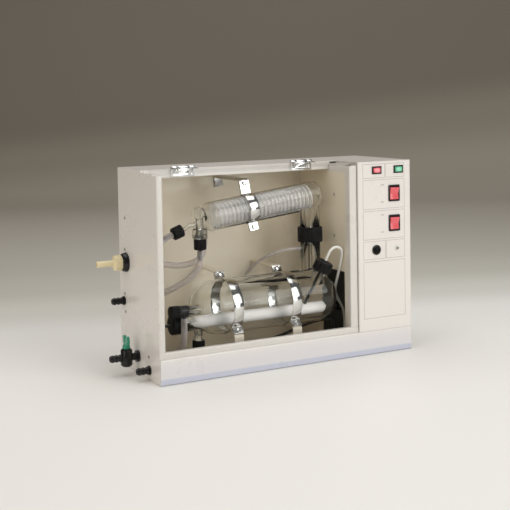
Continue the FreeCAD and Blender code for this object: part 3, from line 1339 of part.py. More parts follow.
def box_inside():
    """Make the terminal block, the cable gland in the back and the vent grommet."""
    block = box("terminal_body", (66, 26, 20), (424, 82, s.sheet_wall))
    slots = [box("terminal_slot_%d" % index, (7, 12, 8), (427 + 10.5 * index, 88, 15))
             for index in range(6)]
    node(cut("terminal_block", block, slots), "terminal_block")
    radius = s.gland_radius
    body = revolved("gland_body", (s.gland_place, s.case_depth, s.gland_row), "Y", points=[
        (4, -8), (radius - 3, -8), (radius - 3, 0), (radius, 0), (radius, 5),
        (radius - 1.5, 6.5), (radius - 2, 14), (radius - 5, 18), (4, 18)])
    nut = doc.addObject("Part::Prism", "gland_nut")
    nut.Polygon = 6
    bind(nut, "Circumradius", radius)
    nut.Height = 4
    put(nut, (s.gland_place, REAR_INNER - 4, s.gland_row), turned_to("Y"))
    hole = cylinder("gland_nut_hole", radius - 3, 4,
                    (s.gland_place, REAR_INNER - 4, s.gland_row), "Y")
    gland = [body, cut("gland_nut_ring", nut, [hole])]
    bore = s.vent_hose_diameter / 2
    grommet = revolved("vent_grommet", (VENT_END[0], REAR_INNER, VENT_END[2]), "Y", points=[
        (bore, -3), (bore + 3, -3), (bore + 3, 0), (bore + 1.5, 0), (bore + 1.5, s.sheet_wall),
        (bore + 3, s.sheet_wall), (bore + 2.4, 4), (bore, 4)])
    node(group("rear_fittings", gland + [grommet]), "rear_fittings")


# Hoses and cables

VENT_END = (246, REAR_INNER, 134)
VENT_HOSE = [
    (337, 75, 214), (318, 75.5, 214.5), (297, 81, 212), (276, 92, 204), (260, 110, 191),
    (251, 132, 173), (247, 154, 150), (246, 176, 134), (246, 199.5, 134)]
DISTILLATE_HOSE = [
    (136, 97, 252), (136, 97, 226), (127, 98, 208), (106, 101, 199), (80, 106, 197),
    (56, 117, 201)]
RETURN_HOSE = [
    (116, 75, 227), (116, 75, 205), (110, 79, 188), (96, 88, 172), (77, 101, 158),
    (54, 118, 144), (31, 134, 131)]
SUPPLY_HOSE = [
    beyond_trap(22), beyond_trap(48), (21, 71, 228), (16, 66, 196), (15, 60, 158),
    (18, 56, 120), (16, 54, 84)]
FEED_HOSE = [
    (69, 50, 107), (69, 50, 74), (69, 60, 48), (55, 78, 34)]
SENSOR_CABLE = [
    along_sensor(58), along_sensor(70), (372.4, 23.5, 211.3), (378.6, 22.5, 216.8),
    (386.8, 22.5, 218.6), (394.8, 23, 216.4), (400.8, 24.5, 210.6), (403.4, 27.5, 202.7),
    (402.5, 34, 180), (402.5, 43, 156), (408, 59, 138), (418, 80, 120), (432, 93, 102),
    (448, 95, 78), (451.5, 95, 48), (451.5, 95, 15)]
HEATER_LEAD = [
    (s.sheath_start, 75, 91), (44, 75, 91), (28, 81, 90), (19, 98, 83), (18, 124, 66),
    (24, 152, 42), (46, 174, 20), (96, 186, 8), (160, 184, 6), (226, 188, 7), (292, 184, 6),
    (344, 178, 16), (376, 158, 34), (396, 122, 52), (408, 103, 58), (419, 97, 56),
    (427.5, 94, 46), (430.5, 94, 30), (430.5, 94, 15)]


def hoses():
    """Make the hoses between glassware and wall, and the two cables to the control box."""
    to_nozzle = tail_start(s.nozzle_depth, s.nozzle_height, NOZZLE_AIM)[::-1]
    to_outlet = tail_start(s.outlet_depth, s.outlet_height, OUTLET_AIM)[::-1]
    to_inlet = tail_start(s.inlet_depth, s.inlet_height, INLET_AIM)[::-1]
    to_tap = tail_start(s.tap_depth, s.tap_height, TAP_AIM)[::-1]
    hose("distillate_hose", DISTILLATE_HOSE + to_nozzle, s.hose_diameter)
    hose("return_hose", RETURN_HOSE + to_outlet, s.hose_diameter)
    hose("supply_hose", SUPPLY_HOSE + to_inlet, s.hose_diameter)
    hose("feed_hose", FEED_HOSE + to_tap, s.hose_diameter)
    hose("vent_hose", VENT_HOSE, s.vent_hose_diameter)
    hose("sensor_cable", SENSOR_CABLE, s.sensor_cable_diameter)
    hose("heater_lead", HEATER_LEAD, s.heater_lead_diameter)


def check():
    """Stop if anything in the document failed or is not a valid solid."""
    for item in doc.Objects:
        if "Invalid" in item.State or "Error" in item.State:
            raise ValueError("%s is %s" % (item.Label, item.State))
    for item in NODES:
        shape = item.Shape
        if shape.isNull() or not shape.isValid() or not shape.Solids:
            raise ValueError("%s has no valid solid" % item.Label)


def write():
    """Write each sub-part to its own file."""
    os.makedirs("parts", exist_ok=True)
    for item in NODES:
        item.Shape.exportStep("parts/%s.step" % item.Label)
    print("%d sub-parts" % len(NODES))


for make in (base_tray, left_panel, right_panel, rear_panel, top_cover, partition, control_panel,
             clear_cover, hinges, case_screws, boiler_glass, condenser_glass, condenser_coil,
             caps, hose_tails, heater, clamps, nozzle, tap, water_barbs, wall_nuts, lamps, rockers,
             fuse_and_reset, box_inside, hoses):
    make()
doc.recompute()
check()
write()
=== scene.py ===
"""Dress the glass water distiller: enamelled case, glassware, clamps, hoses and control panel."""

from __future__ import annotations

import json
import logging
import math
from dataclasses import dataclass
from enum import Enum
from typing import Sequence

import bmesh
import bpy
from bpy.types import ID, Material, Node, NodeSocket, NodeTree, Object
from mathutils import Matrix, Vector

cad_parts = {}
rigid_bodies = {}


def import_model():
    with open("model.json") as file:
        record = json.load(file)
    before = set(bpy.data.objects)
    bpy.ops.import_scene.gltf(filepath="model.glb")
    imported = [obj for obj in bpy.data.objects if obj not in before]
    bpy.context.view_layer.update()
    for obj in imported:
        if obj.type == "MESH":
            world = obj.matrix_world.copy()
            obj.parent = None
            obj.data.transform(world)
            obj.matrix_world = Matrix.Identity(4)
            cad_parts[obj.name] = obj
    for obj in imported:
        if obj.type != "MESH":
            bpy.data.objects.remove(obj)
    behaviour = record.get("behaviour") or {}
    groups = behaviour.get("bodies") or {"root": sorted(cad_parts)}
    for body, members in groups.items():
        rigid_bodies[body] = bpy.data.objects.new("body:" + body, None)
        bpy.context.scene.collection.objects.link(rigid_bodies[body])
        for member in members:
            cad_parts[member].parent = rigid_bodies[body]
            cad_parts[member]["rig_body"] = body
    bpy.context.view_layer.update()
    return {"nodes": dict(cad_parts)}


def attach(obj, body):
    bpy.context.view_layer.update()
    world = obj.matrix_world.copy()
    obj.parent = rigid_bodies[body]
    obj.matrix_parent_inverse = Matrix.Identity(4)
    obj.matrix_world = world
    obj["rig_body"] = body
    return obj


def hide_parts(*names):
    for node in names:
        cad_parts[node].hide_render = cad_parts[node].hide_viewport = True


LOG = logging.getLogger("distiller")
MM = 0.001
CASE_WIDTH = 550.0
CASE_DEPTH = 200.0
CASE_HEIGHT = 385.0
Point = tuple[float, float, float]
Colour = tuple[float, float, float]
Span = tuple[float, float]

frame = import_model()


def at(left: float, front: float, up: float) -> Vector:
    """Return a place on the still as a point of the scene.

    Args:
        left: Millimetres from the outer face of the left wall.
        front: Millimetres behind the front face of the case.
        up: Millimetres above the bench.

    Returns:
        The point in metres, in the shared frame.
    """
    return Vector(((left - CASE_WIDTH / 2) * MM, (front - CASE_DEPTH / 2) * MM, up * MM))


class Facing(Enum):
    """The ways in which a small part can face."""

    LEFT = (-1.0, 0.0, 0.0)
    FRONT = (0.0, -1.0, 0.0)
    BACK = (0.0, 1.0, 0.0)
    UP = (0.0, 0.0, 1.0)

    def turn(self) -> Matrix:
        """Return the turn that brings the Z axis onto this direction."""
        return Vector(self.value).to_track_quat("Z", "Y").to_matrix().to_4x4()


# Shader groups that several finishes share


def new_group(name: str, inputs: Sequence[tuple[str, float]], outputs: Sequence[str]
              ) -> tuple[NodeTree, Node, Node]:
    """Return an empty shader group whose interface is made.

    Args:
        name: The group's name.
        inputs: Each input's name and default value.
        outputs: Each output's name.

    Returns:
        The new node tree, its input node and its output node.
    """
    tree = bpy.data.node_groups.new(name, "ShaderNodeTree")
    for label, value in inputs:
        socket = tree.interface.new_socket(label, in_out="INPUT", socket_type="NodeSocketFloat")
        socket.default_value = value
    for label in outputs:
        tree.interface.new_socket(label, in_out="OUTPUT", socket_type="NodeSocketFloat")
    return tree, tree.nodes.new("NodeGroupInput"), tree.nodes.new("NodeGroupOutput")


@dataclass
class Tree:
    """A thin wrapper that adds nodes and links to a node tree.

    Args:
        tree: The node tree.
    """

    tree: NodeTree

    def add(self, kind: str, **inputs: object) -> Node:
        """Add a node and set or link its inputs by name.

        Args:
            kind: The end of the node's type, after ShaderNode.
            **inputs: Values or output sockets, by input name with underscores for spaces.

        Returns:
            The new node.
        """
        node = self.tree.nodes.new("ShaderNode" + kind)
        for name, value in inputs.items():
            self.feed(node, name.replace("_", " "), value)
        return node

    def feed(self, node: Node, name: str | int, value: object) -> None:
        """Set an input of a node, or link it if the value is a socket."""
        socket = node.inputs[name]
        if isinstance(value, NodeSocket):
            self.tree.links.new(value, socket)
        else:
            socket.default_value = value

    def group(self, tree: NodeTree, **inputs: float) -> Node:
        """Add a shader group with its own input values."""
        node = self.add("Group")
        node.node_tree = tree
        for name, value in inputs.items():
            self.feed(node, name, value)
        return node

    def mix_into_output(self, share: object, first: object, second: object) -> None:
        """Mix two shaders and link the result to the material's surface.

        Args:
            share: How much of the second shader shows.
            first: The first shader's output.
            second: The second shader's output.
        """
        mixed = self.add("MixShader")
        for place, value in enumerate((share, first, second)):
            self.feed(mixed, place, value)
        output = next(n for n in self.tree.nodes if n.type == "OUTPUT_MATERIAL")
        self.feed(output, "Surface", mixed.outputs[0])

    def math(self, operation: str, first: object, second: object = 0.0) -> NodeSocket:
        """Add a Math node.

        Args:
            operation: The operation's name.
            first: The first value or socket.
            second: The second value or socket.

        Returns:
            The result's socket.
        """
        node = self.add("Math")
        node.operation = operation
        self.feed(node, 0, first)
        self.feed(node, 1, second)
        return node.outputs[0]

    def ramp(self, value: object, low: float, high: float) -> NodeSocket:
        """Return a value mapped smoothly from a range onto 0 to 1."""
        node = self.add("MapRange")
        node.interpolation_type = "SMOOTHSTEP"
        self.feed(node, "Value", value)
        node.inputs["From Min"].default_value = low
        node.inputs["From Max"].default_value = high
        return node.outputs[0]

    def blend(self, amount: object, first: object, second: object) -> NodeSocket:
        """Return a colour mixed from two."""
        node = self.add("Mix")
        node.data_type = "RGBA"
        self.feed(node, 0, amount)
        self.feed(node, 6, first)
        self.feed(node, 7, second)
        return node.outputs[2]


def fine_grain_group() -> NodeTree:
    """Return the group that gives moulded, sprayed or brushed surfaces their fine texture."""
    known = bpy.data.node_groups.get("Fine Grain")
    if known:
        return known
    tree, inside, outside = new_group(
        "Fine Grain",
        (("Scale", 900.0), ("Stretch", 1.0), ("Roughness", 0.4), ("Spread", 0.1)),
        ("Height", "Roughness", "Mottle"))
    made = Tree(tree)
    place = made.add("TexCoord").outputs["Object"]
    stretch = made.add("CombineXYZ", X=inside.outputs["Stretch"], Y=1.0, Z=1.0)
    scaled = made.add("VectorMath")
    scaled.operation = "MULTIPLY"
    made.feed(scaled, 0, place)
    made.feed(scaled, 1, stretch.outputs[0])
    fine = made.add("TexNoise", Vector=scaled.outputs[0],
                    Scale=inside.outputs["Scale"], Detail=3.0)
    broad = made.add("TexNoise", Vector=place, Scale=14.0, Detail=4.0)
    centred = made.math("SUBTRACT", broad.outputs[0], 0.5)
    shift = made.math("MULTIPLY", centred, inside.outputs["Spread"])
    made.feed(outside, "Height", fine.outputs[0])
    made.feed(outside, "Roughness", made.math("ADD", inside.outputs["Roughness"], shift))
    made.feed(outside, "Mottle", broad.outputs[0])
    return tree


def smudge_group() -> NodeTree:
    """Return the group that gives a faint film of handling marks and settled dust."""
    known = bpy.data.node_groups.get("Handling Marks")
    if known:
        return known
    tree, inside, outside = new_group(
        "Handling Marks", (("Marks", 0.3), ("Dust", 0.3)), ("Marks", "Dust"))
    made = Tree(tree)
    place = made.add("TexCoord").outputs["Object"]
    patches = made.add("TexNoise", Vector=place, Scale=22.0, Detail=5.0, Distortion=0.6)
    marks = made.ramp(patches.outputs[0], 0.52, 0.72)
    made.feed(outside, "Marks", made.math("MULTIPLY", marks, inside.outputs["Marks"]))
    normal = made.add("NewGeometry").outputs["Normal"]
    upward = made.add("SeparateXYZ", Vector=normal).outputs["Z"]
    speck = made.add("TexNoise", Vector=place, Scale=160.0, Detail=3.0)
    settled = made.math("MULTIPLY", made.ramp(upward, 0.55, 1.0), speck.outputs[0])
    made.feed(outside, "Dust", made.math("MULTIPLY", settled, inside.outputs["Dust"]))
    return tree


# Finishes


@dataclass(frozen=True)
class Finish:
    """A surface's look, built into a material the first time that it is asked for.

    Args:
        name: The material's name.
        slot: The record's material slot that it belongs to; not used.
        colour: The base colour.
        second: The colour that the mottle leans towards, unless the surface is clear.
        metallic: 1 for bare metal.
        roughness: The middle roughness.
        spread: How much the roughness varies over the surface.
        grain: The grain's scale.
        stretch: How much the grain is drawn out across X.
        bump: The grain's bump distance in metres.
        marks: The strength of the handling marks.
        dust: The strength of the settled dust.
        dust_colour: The dust's colour.
        coat: The clear coat's weight.
        shine: The strength of the plain gloss.
    """

    name: str
    slot: str
    colour: Colour
    second: Colour = (0.5, 0.5, 0.5)
    metallic: float = 0.0
    roughness: float = 0.4
    spread: float = 0.1
    grain: float = 900.0
    stretch: float = 1.0
    bump: float = 0.00002
    marks: float = 0.15
    dust: float = 0.15
    dust_colour: Colour = (0.62, 0.60, 0.56)
    coat: float = 0.0
    shine: float = 0.5

    def material(self) -> Material:
        """Return this finish's material, built once."""
        known = bpy.data.materials.get(self.name)
        if known:
            return known
        material = bpy.data.materials.new(self.name)
        material.use_nodes = True
        made = Tree(material.node_tree)
        shader = material.node_tree.nodes["Principled BSDF"]
        self.dress(made, shader)
        return material

    def dress(self, made: Tree, shader: Node) -> None:
        """Build the colour, roughness and grain of a plain surface.

        Args:
            made: The material's tree.
            shader: Its Principled node.
        """
        grain = made.group(fine_grain_group(), Scale=self.grain, Stretch=self.stretch,
                           Roughness=self.roughness, Spread=self.spread)
        film = made.group(smudge_group(), Marks=self.marks, Dust=self.dust)
        base = made.blend(grain.outputs["Mottle"], (*self.colour, 1.0), (*self.second, 1.0))
        dusty = made.blend(film.outputs["Dust"], base, (*self.dust_colour, 1.0))
        made.feed(shader, "Base Color", dusty)
        dull = made.math("MULTIPLY", film.outputs["Marks"], 0.35)
        rough = made.math("ADD", grain.outputs["Roughness"], dull)
        made.feed(shader, "Roughness", made.math("ADD", rough, film.outputs["Dust"]))
        bump = made.add("Bump", Height=grain.outputs["Height"], Distance=self.bump)
        bump.inputs["Strength"].default_value = 0.6
        made.feed(shader, "Normal", bump.outputs[0])
        shader.inputs["Metallic"].default_value = self.metallic
        shader.inputs["Coat Weight"].default_value = self.coat
        shader.inputs["Coat Roughness"].default_value = 0.08
        shader.inputs["Specular IOR Level"].default_value = self.shine


@dataclass(frozen=True)
class EnamelFinish(Finish):
    """Sprayed enamel, warmer inside the case, with painted shade and a blue painted floor
    reflection at the plinth's foot.

    Places are in metres, and each pair says where a change begins and where it is full.

    Args:
        inside: The colour inside the case.
        low: The colour of the painted shade near the chamber's floor, under the boiler.
        box: The colour of the painted shade inside the control box, which never sees light.
        foot: The colour of the painted shade down the plinth and of the painted floor reflection
            along its lowest edge.
        splash: The heights between which the painted shade grows to its full strength.
        splashed: How strong the painted shade is.
        lip: How far behind the front the warm colour begins and is full.
        skin: How deep in the back and the top it begins and is full.
        side_skin: How deep in the side walls it begins and is full.
        fascia_foot: The heights between which the fascia's outside ends.
        fascia_back: Where the fascia's outside ends, from front to back.
        partition: Where the control box begins, from left to right.
        skirt: The heights between which the painted shade on the plinth grows.
        skirted: How strong that painted shade is.
        strip: The heights between which a painted reflection of the floor turns the plinth's foot
            blue.
        plinth: How far behind the front the plinth's painted shade and painted reflection end and
            are full.
    """

    inside: Colour = (0.86, 0.765, 0.61)
    low: Colour = (0.50, 0.42, 0.31)
    box: Colour = (0.20, 0.17, 0.13)
    foot: Colour = (0.50, 0.52, 0.61)
    splash: Span = (0.125, 0.04)
    splashed: float = 0.7
    lip: Span = (0.010, 0.030)
    skin: Span = (0.0010, 0.0016)
    side_skin: Span = (0.0006, 0.0014)
    fascia_foot: Span = (0.366, 0.362)
    fascia_back: Span = (-0.0180, -0.0172)
    partition: Span = (0.1336, 0.1340)
    skirt: Span = (0.062, 0.022)
    skirted: float = 0.35
    strip: Span = (0.015, 0.009)
    plinth: Span = (0.004, 0.001)

    def dress(self, made: Tree, shader: Node) -> None:
        """Build the plain surface and tint it by where it is on the case."""
        Finish.dress(self, made, shader)
        plain = shader.inputs["Base Color"].links[0].from_socket
        place = made.add("TexCoord").outputs["Object"]
        parts = made.add("SeparateXYZ", Vector=place).outputs
        side, face, top = CASE_WIDTH / 2 * MM, CASE_DEPTH / 2 * MM, CASE_HEIGHT * MM
        walls = (
            made.ramp(parts["Y"], *(deep - face for deep in self.lip)),
            made.ramp(parts["Y"], *(face - deep for deep in self.skin)),
            made.ramp(parts["X"], *(deep - side for deep in self.side_skin)),
            made.ramp(parts["X"], *(side - deep for deep in self.side_skin)),
            made.ramp(parts["Z"], *(top - deep for deep in self.skin)),
            made.math("MAXIMUM", made.ramp(parts["Z"], *self.fascia_foot),
                      made.ramp(parts["Y"], *self.fascia_back)))
        within = walls[0]
        for wall in walls[1:]:
            within = made.math("MULTIPLY", within, wall)
        # Painted shade: the chamber's lining darkens towards its floor, under the boiler.
        floor_shade_amount = made.math("MULTIPLY", made.ramp(parts["Z"], *self.splash), self.splashed)
        chamber = made.blend(floor_shade_amount, (*self.inside, 1.0), (*self.low, 1.0))
        # Painted shade: the inside of the control box is painted dark.
        box_shade_mask = made.ramp(parts["X"], *self.partition)
        lining = made.blend(box_shade_mask, chamber, (*self.box, 1.0))
        tinted = made.blend(within, plain, lining)
        # Painted shade down the plinth, and a painted blue reflection of the floor along its
        # foot.
        front = made.ramp(parts["Y"], *(deep - face for deep in self.plinth))
        shaded = made.math("MULTIPLY", made.ramp(parts["Z"], *self.skirt), self.skirted)
        low = made.math("MAXIMUM", shaded, made.ramp(parts["Z"], *self.strip))
        made.feed(shader, "Base Color", made.blend(
            made.math("MULTIPLY", low, front), tinted, (*self.foot, 1.0)))


@dataclass(frozen=True)
class ClearFinish(Finish):
    """Glass or clear plastic that lets the lamps through.

    Args:
        ior: The index of refraction.
        shade: The colour that light takes on as it passes.
        milk: How much of the glass is milky.
    """

    ior: float = 1.32
    shade: Colour = (0.84, 0.83, 0.79)
    milk: float = 0.0

    def dress(self, made: Tree, shader: Node) -> None:
        """Build a refracting shader with a see-through side for rays from the lamps."""
        film = made.group(smudge_group(), Marks=self.marks)
        shader.inputs["Base Color"].default_value = (*self.colour, 1.0)
        shader.inputs["Transmission Weight"].default_value = 1.0 - self.milk
        shader.inputs["IOR"].default_value = self.ior
        worn = made.math("MULTIPLY", film.outputs["Marks"], 0.12)
        made.feed(shader, "Roughness", made.math("ADD", worn, self.roughness))
        grain = made.group(fine_grain_group(), Scale=self.grain)
        bump = made.add("Bump", Height=grain.outputs["Height"], Distance=self.bump)
        bump.inputs["Strength"].default_value = 0.5
        made.feed(shader, "Normal", bump.outputs[0])
        clear = made.add("BsdfTransparent", Color=(*self.shade, 1.0))
        lamp = made.add("LightPath").outputs["Is Shadow Ray"]
        made.mix_into_output(lamp, shader.outputs[0], clear.outputs[0])


@dataclass(frozen=True)
class SheetFinish(Finish):
    """A thin clear sheet that does not bend what is seen through it.

    Args:
        facing: How much of the gloss a straight look meets.
        grazing: How much of the gloss a grazing look adds.
        tint: The colour of what is seen through the sheet.
    """

    facing: float = 0.004
    grazing: float = 0.18
    tint: Colour = (0.995, 0.998, 0.995)

    def dress(self, made: Tree, shader: Node) -> None:
        """Build a see-through sheet with a gloss that grows towards grazing looks."""
        film = made.group(smudge_group(), Marks=self.marks)
        shader.inputs["Base Color"].default_value = (*self.colour, 1.0)
        worn = made.math("MULTIPLY", film.outputs["Marks"], 0.3)
        made.feed(shader, "Roughness", made.math("ADD", worn, self.roughness))
        clear = made.add("BsdfTransparent", Color=(*self.tint, 1.0))
        fresnel = made.add("Fresnel", IOR=1.45).outputs[0]
        share = made.math("ADD", made.math("MULTIPLY", fresnel, self.grazing), self.facing)
        made.mix_into_output(share, clear.outputs[0], shader.outputs[0])


@dataclass(frozen=True)
class HoseFinish(Finish):
    """Soft clear tube, denser to look through at its edges than across its middle.

    Args:
        middle: How dense it looks across its middle.
        edge: How much denser it looks at its edges.
        tint: The colour of what is seen through it.
    """

    middle: float = 0.3
    edge: float = 0.62
    tint: Colour = (0.93, 0.91, 0.90)

    def dress(self, made: Tree, shader: Node) -> None:
        """Build a milky gloss over a see-through wall."""
        Finish.dress(self, made, shader)
        turned = made.add("LayerWeight", Blend=0.45).outputs["Facing"]
        share = made.math("ADD", made.math("MULTIPLY", turned, self.edge), self.middle)
        clear = made.add("BsdfTransparent", Color=(*self.tint, 1.0))
        made.mix_into_output(share, clear.outputs[0], shader.outputs[0])


@dataclass(frozen=True)
class LitFinish(Finish):
    """Coloured plastic with a lamp behind it.

    Args:
        glow: The emission's strength.
        light: The emission's colour.
        middle: The place of the bright middle, in the still's millimetres.
        reach: How far the bright middle reaches, in millimetres.
        core: The share of the reach that is brightest.
        white: How much white is in the brightest light.
        rim: How bright the light is past the reach.
    """

    glow: float = 0.4
    light: Colour = (1.0, 0.3, 0.3)
    middle: Point = (0.0, 0.0, 0.0)
    reach: float = 0.0
    core: float = 0.35
    white: float = 0.45
    rim: float = 0.35

    def dress(self, made: Tree, shader: Node) -> None:
        """Build the plain surface and add the lamp's light."""
        Finish.dress(self, made, shader)
        shader.inputs["Emission Color"].default_value = (*self.light, 1.0)
        shader.inputs["Emission Strength"].default_value = self.glow
        shader.inputs["Coat Weight"].default_value = 0.5
        if self.reach:
            place = made.add("TexCoord").outputs["Object"]
            apart = made.add("VectorMath")
            apart.operation = "DISTANCE"
            made.feed(apart, 0, place)
            apart.inputs[1].default_value = at(*self.middle)
            near = made.ramp(apart.outputs["Value"], self.reach * MM, self.reach * MM * self.core)
            bright = tuple(self.white + (1.0 - self.white) * part for part in self.light)
            dim = tuple(self.rim * part for part in self.light)
            made.feed(shader, "Emission Color", made.blend(near, (*dim, 1.0), (*bright, 1.0)))


ENAMEL = EnamelFinish(
    "Cream Enamel", "case_paint", (0.74, 0.695, 0.65), (0.76, 0.715, 0.67), roughness=0.28,
    spread=0.05, grain=700.0, bump=0.00003, marks=0.02, dust=0.03, coat=0.35)
ACRYLIC = SheetFinish(
    "Clear Cover Sheet", "clear_acrylic", (0.10, 0.10, 0.09), roughness=0.03, marks=0.25)
CUP = ClearFinish(
    "Clear Cup", "clear_acrylic", (0.96, 0.97, 0.96), roughness=0.03, ior=1.45, marks=0.2,
    bump=0.00001)
GLASS = ClearFinish(
    "Blown Glass", "lab_glass", (0.975, 0.985, 0.98), roughness=0.0, grain=18.0, bump=0.0002,
    marks=0.1)
COIL_GLASS = ClearFinish(
    "Coil Glass", "lab_glass", (0.96, 0.95, 0.98), roughness=0.01, grain=60.0, bump=0.00005,
    marks=0.1, ior=1.36, milk=0.2)
BLACK_CAP = Finish(
    "Moulded Black Cap", "black_cap", (0.006, 0.006, 0.007), (0.012, 0.011, 0.011),
    roughness=0.42, spread=0.2, grain=1800.0, bump=0.00003, marks=0.2, dust=0.02, shine=0.08)
BLACK_GLOSS = Finish(
    "Moulded Black Fitting", "black_fitting", (0.006, 0.006, 0.006), (0.011, 0.010, 0.010),
    roughness=0.26, spread=0.15, grain=1500.0, marks=0.3, dust=0.03, coat=0.05, shine=0.35)
IVORY = Finish(
    "Ivory Nozzle", "pale_fitting", (0.78, 0.66, 0.38), (0.82, 0.72, 0.47), roughness=0.34,
    spread=0.12, grain=1100.0, bump=0.00003, marks=0.2, coat=0.15)
POLISHED = Finish(
    "Polished Strip", "band_steel", (0.62, 0.61, 0.59), (0.70, 0.69, 0.67), metallic=1.0,
    roughness=0.12, grain=500.0, stretch=0.02, bump=0.00001, marks=0.25, dust=0.0)
HINGE_CHROME = Finish(
    "Hinge Chrome", "hinge_steel", (0.60, 0.60, 0.59), (0.68, 0.67, 0.66), metallic=1.0,
    roughness=0.16, spread=0.08, grain=600.0, bump=0.00001, marks=0.2, dust=0.0)
ZINC = Finish(
    "Zinc Screw", "screw_steel", (0.50, 0.49, 0.46), (0.60, 0.58, 0.55), metallic=1.0,
    roughness=0.3, spread=0.15, marks=0.2, dust=0.0)
QUARTZ = Finish(
    "Quartz Sheath", "quartz", (0.93, 0.90, 0.90), (0.88, 0.85, 0.86), roughness=0.24,
    grain=240.0, stretch=0.2, bump=0.00003, marks=0.1, dust=0.0, coat=0.3)
CORE = Finish(
    "Element Core", "element_wire", (0.40, 0.36, 0.33), (0.48, 0.44, 0.40), metallic=1.0,
    roughness=0.5, grain=500.0, stretch=4.0, bump=0.00008)
SILICONE = Finish(
    "Pale Seal", "seal_rubber", (0.70, 0.66, 0.60), (0.62, 0.58, 0.52), roughness=0.55,
    grain=1000.0, bump=0.00003)
CLEAR_HOSE = HoseFinish(
    "Clear Hose", "clear_hose", (0.66, 0.60, 0.58), (0.74, 0.68, 0.66), roughness=0.16,
    spread=0.08, grain=300.0, marks=0.1, dust=0.0, coat=0.3)
SLEEVE = Finish(
    "White Sleeve", "white_sleeve", (0.82, 0.79, 0.74), (0.76, 0.73, 0.68), roughness=0.5,
    grain=2200.0, bump=0.00005)
LEAD = Finish(
    "Black Lead", "black_sleeve", (0.015, 0.015, 0.015), (0.03, 0.03, 0.03), roughness=0.5,
    grain=2200.0, bump=0.00005)
GREY_BUTTON = Finish(
    "Grey Button", "black_cap", (0.20, 0.19, 0.18), (0.24, 0.23, 0.21), grain=1400.0, dust=0.0)
STRIP = Finish(
    "Terminal Strip", "terminal_plastic", (0.72, 0.70, 0.64), (0.66, 0.64, 0.58),
    roughness=0.45, grain=1400.0, bump=0.00003)
PRINT = Finish(
    "Panel Print", "black_fitting", (0.20, 0.19, 0.18), (0.26, 0.25, 0.24), roughness=0.5,
    grain=2500.0, bump=0.00001, marks=0.0, dust=0.0)
RED_ROCKER = LitFinish(
    "Lit Red Rocker", "red_rocker", (0.50, 0.04, 0.05), (0.56, 0.07, 0.08), roughness=0.22,
    bump=0.00001, glow=0.20, light=(1.0, 0.22, 0.25), dust=0.0)
RED_LAMP = LitFinish(
    "Red Lamp", "red_lens", (0.50, 0.03, 0.05), (0.60, 0.06, 0.08), roughness=0.2, grain=1200.0,
    bump=0.00006, light=(1.0, 0.25, 0.28), dust=0.0, middle=(469.5, -1.5, 367.5), reach=9.0)
GREEN_LAMP = LitFinish(
    "Green Lamp", "green_lens", (0.02, 0.24, 0.12), (0.05, 0.36, 0.2), roughness=0.2,
    grain=1200.0, bump=0.00006, light=(0.25, 1.0, 0.55), dust=0.0, middle=(521.5, -1.5, 367.5),
    reach=9.0)
GREEN_HANDLE = Finish(
    "Green Handle", "green_handle", (0.01, 0.24, 0.14), (0.02, 0.32, 0.19), roughness=0.2,
    coat=0.4, dust=0.05)


# Modelling helpers


def deselect() -> None:
    """Leave object mode and deselect everything."""
    if bpy.context.object and bpy.context.object.mode != "OBJECT":
        bpy.ops.object.mode_set(mode="OBJECT")
    bpy.ops.object.select_all(action="DESELECT")


def select_only(piece: Object) -> None:
    """Select one object and make it active."""
    deselect()
    piece.select_set(True)
    bpy.context.view_layer.objects.active = piece


def placed(name: str, data: ID) -> Object:
    """Return a new object of the scene that holds the data."""
    piece = bpy.data.objects.new(name, data)
    bpy.context.scene.collection.objects.link(piece)
    return piece


def body_holding(node: str) -> str:
    """Return the name of the body that a CAD node belongs to."""
    return str(frame["nodes"][node]["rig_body"])


def shaped(piece: Object, kind: str, **settings: object) -> None:
    """Add a modifier to the active piece, set it and apply it."""
    modifier = piece.modifiers.new(kind.title(), kind)
    for name, value in settings.items():
        setattr(modifier, name, value)
    bpy.ops.object.modifier_apply(modifier=modifier.name)


def settle(piece: Object, finish: Finish, body: str) -> Object:
    """Bake a piece's place into its mesh, paint it and put it on a body.

    Args:
        piece: The finished object.
        finish: Its finish.
        body: The body that it rides on.

    Returns:
        The same object.
    """
    select_only(piece)
    bpy.ops.object.transform_apply(location=True, rotation=True, scale=True)
    piece.data.materials.clear()
    piece.data.materials.append(finish.material())
    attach(piece, body)
    LOG.info("%s on %s", piece.name, body)
    return piece


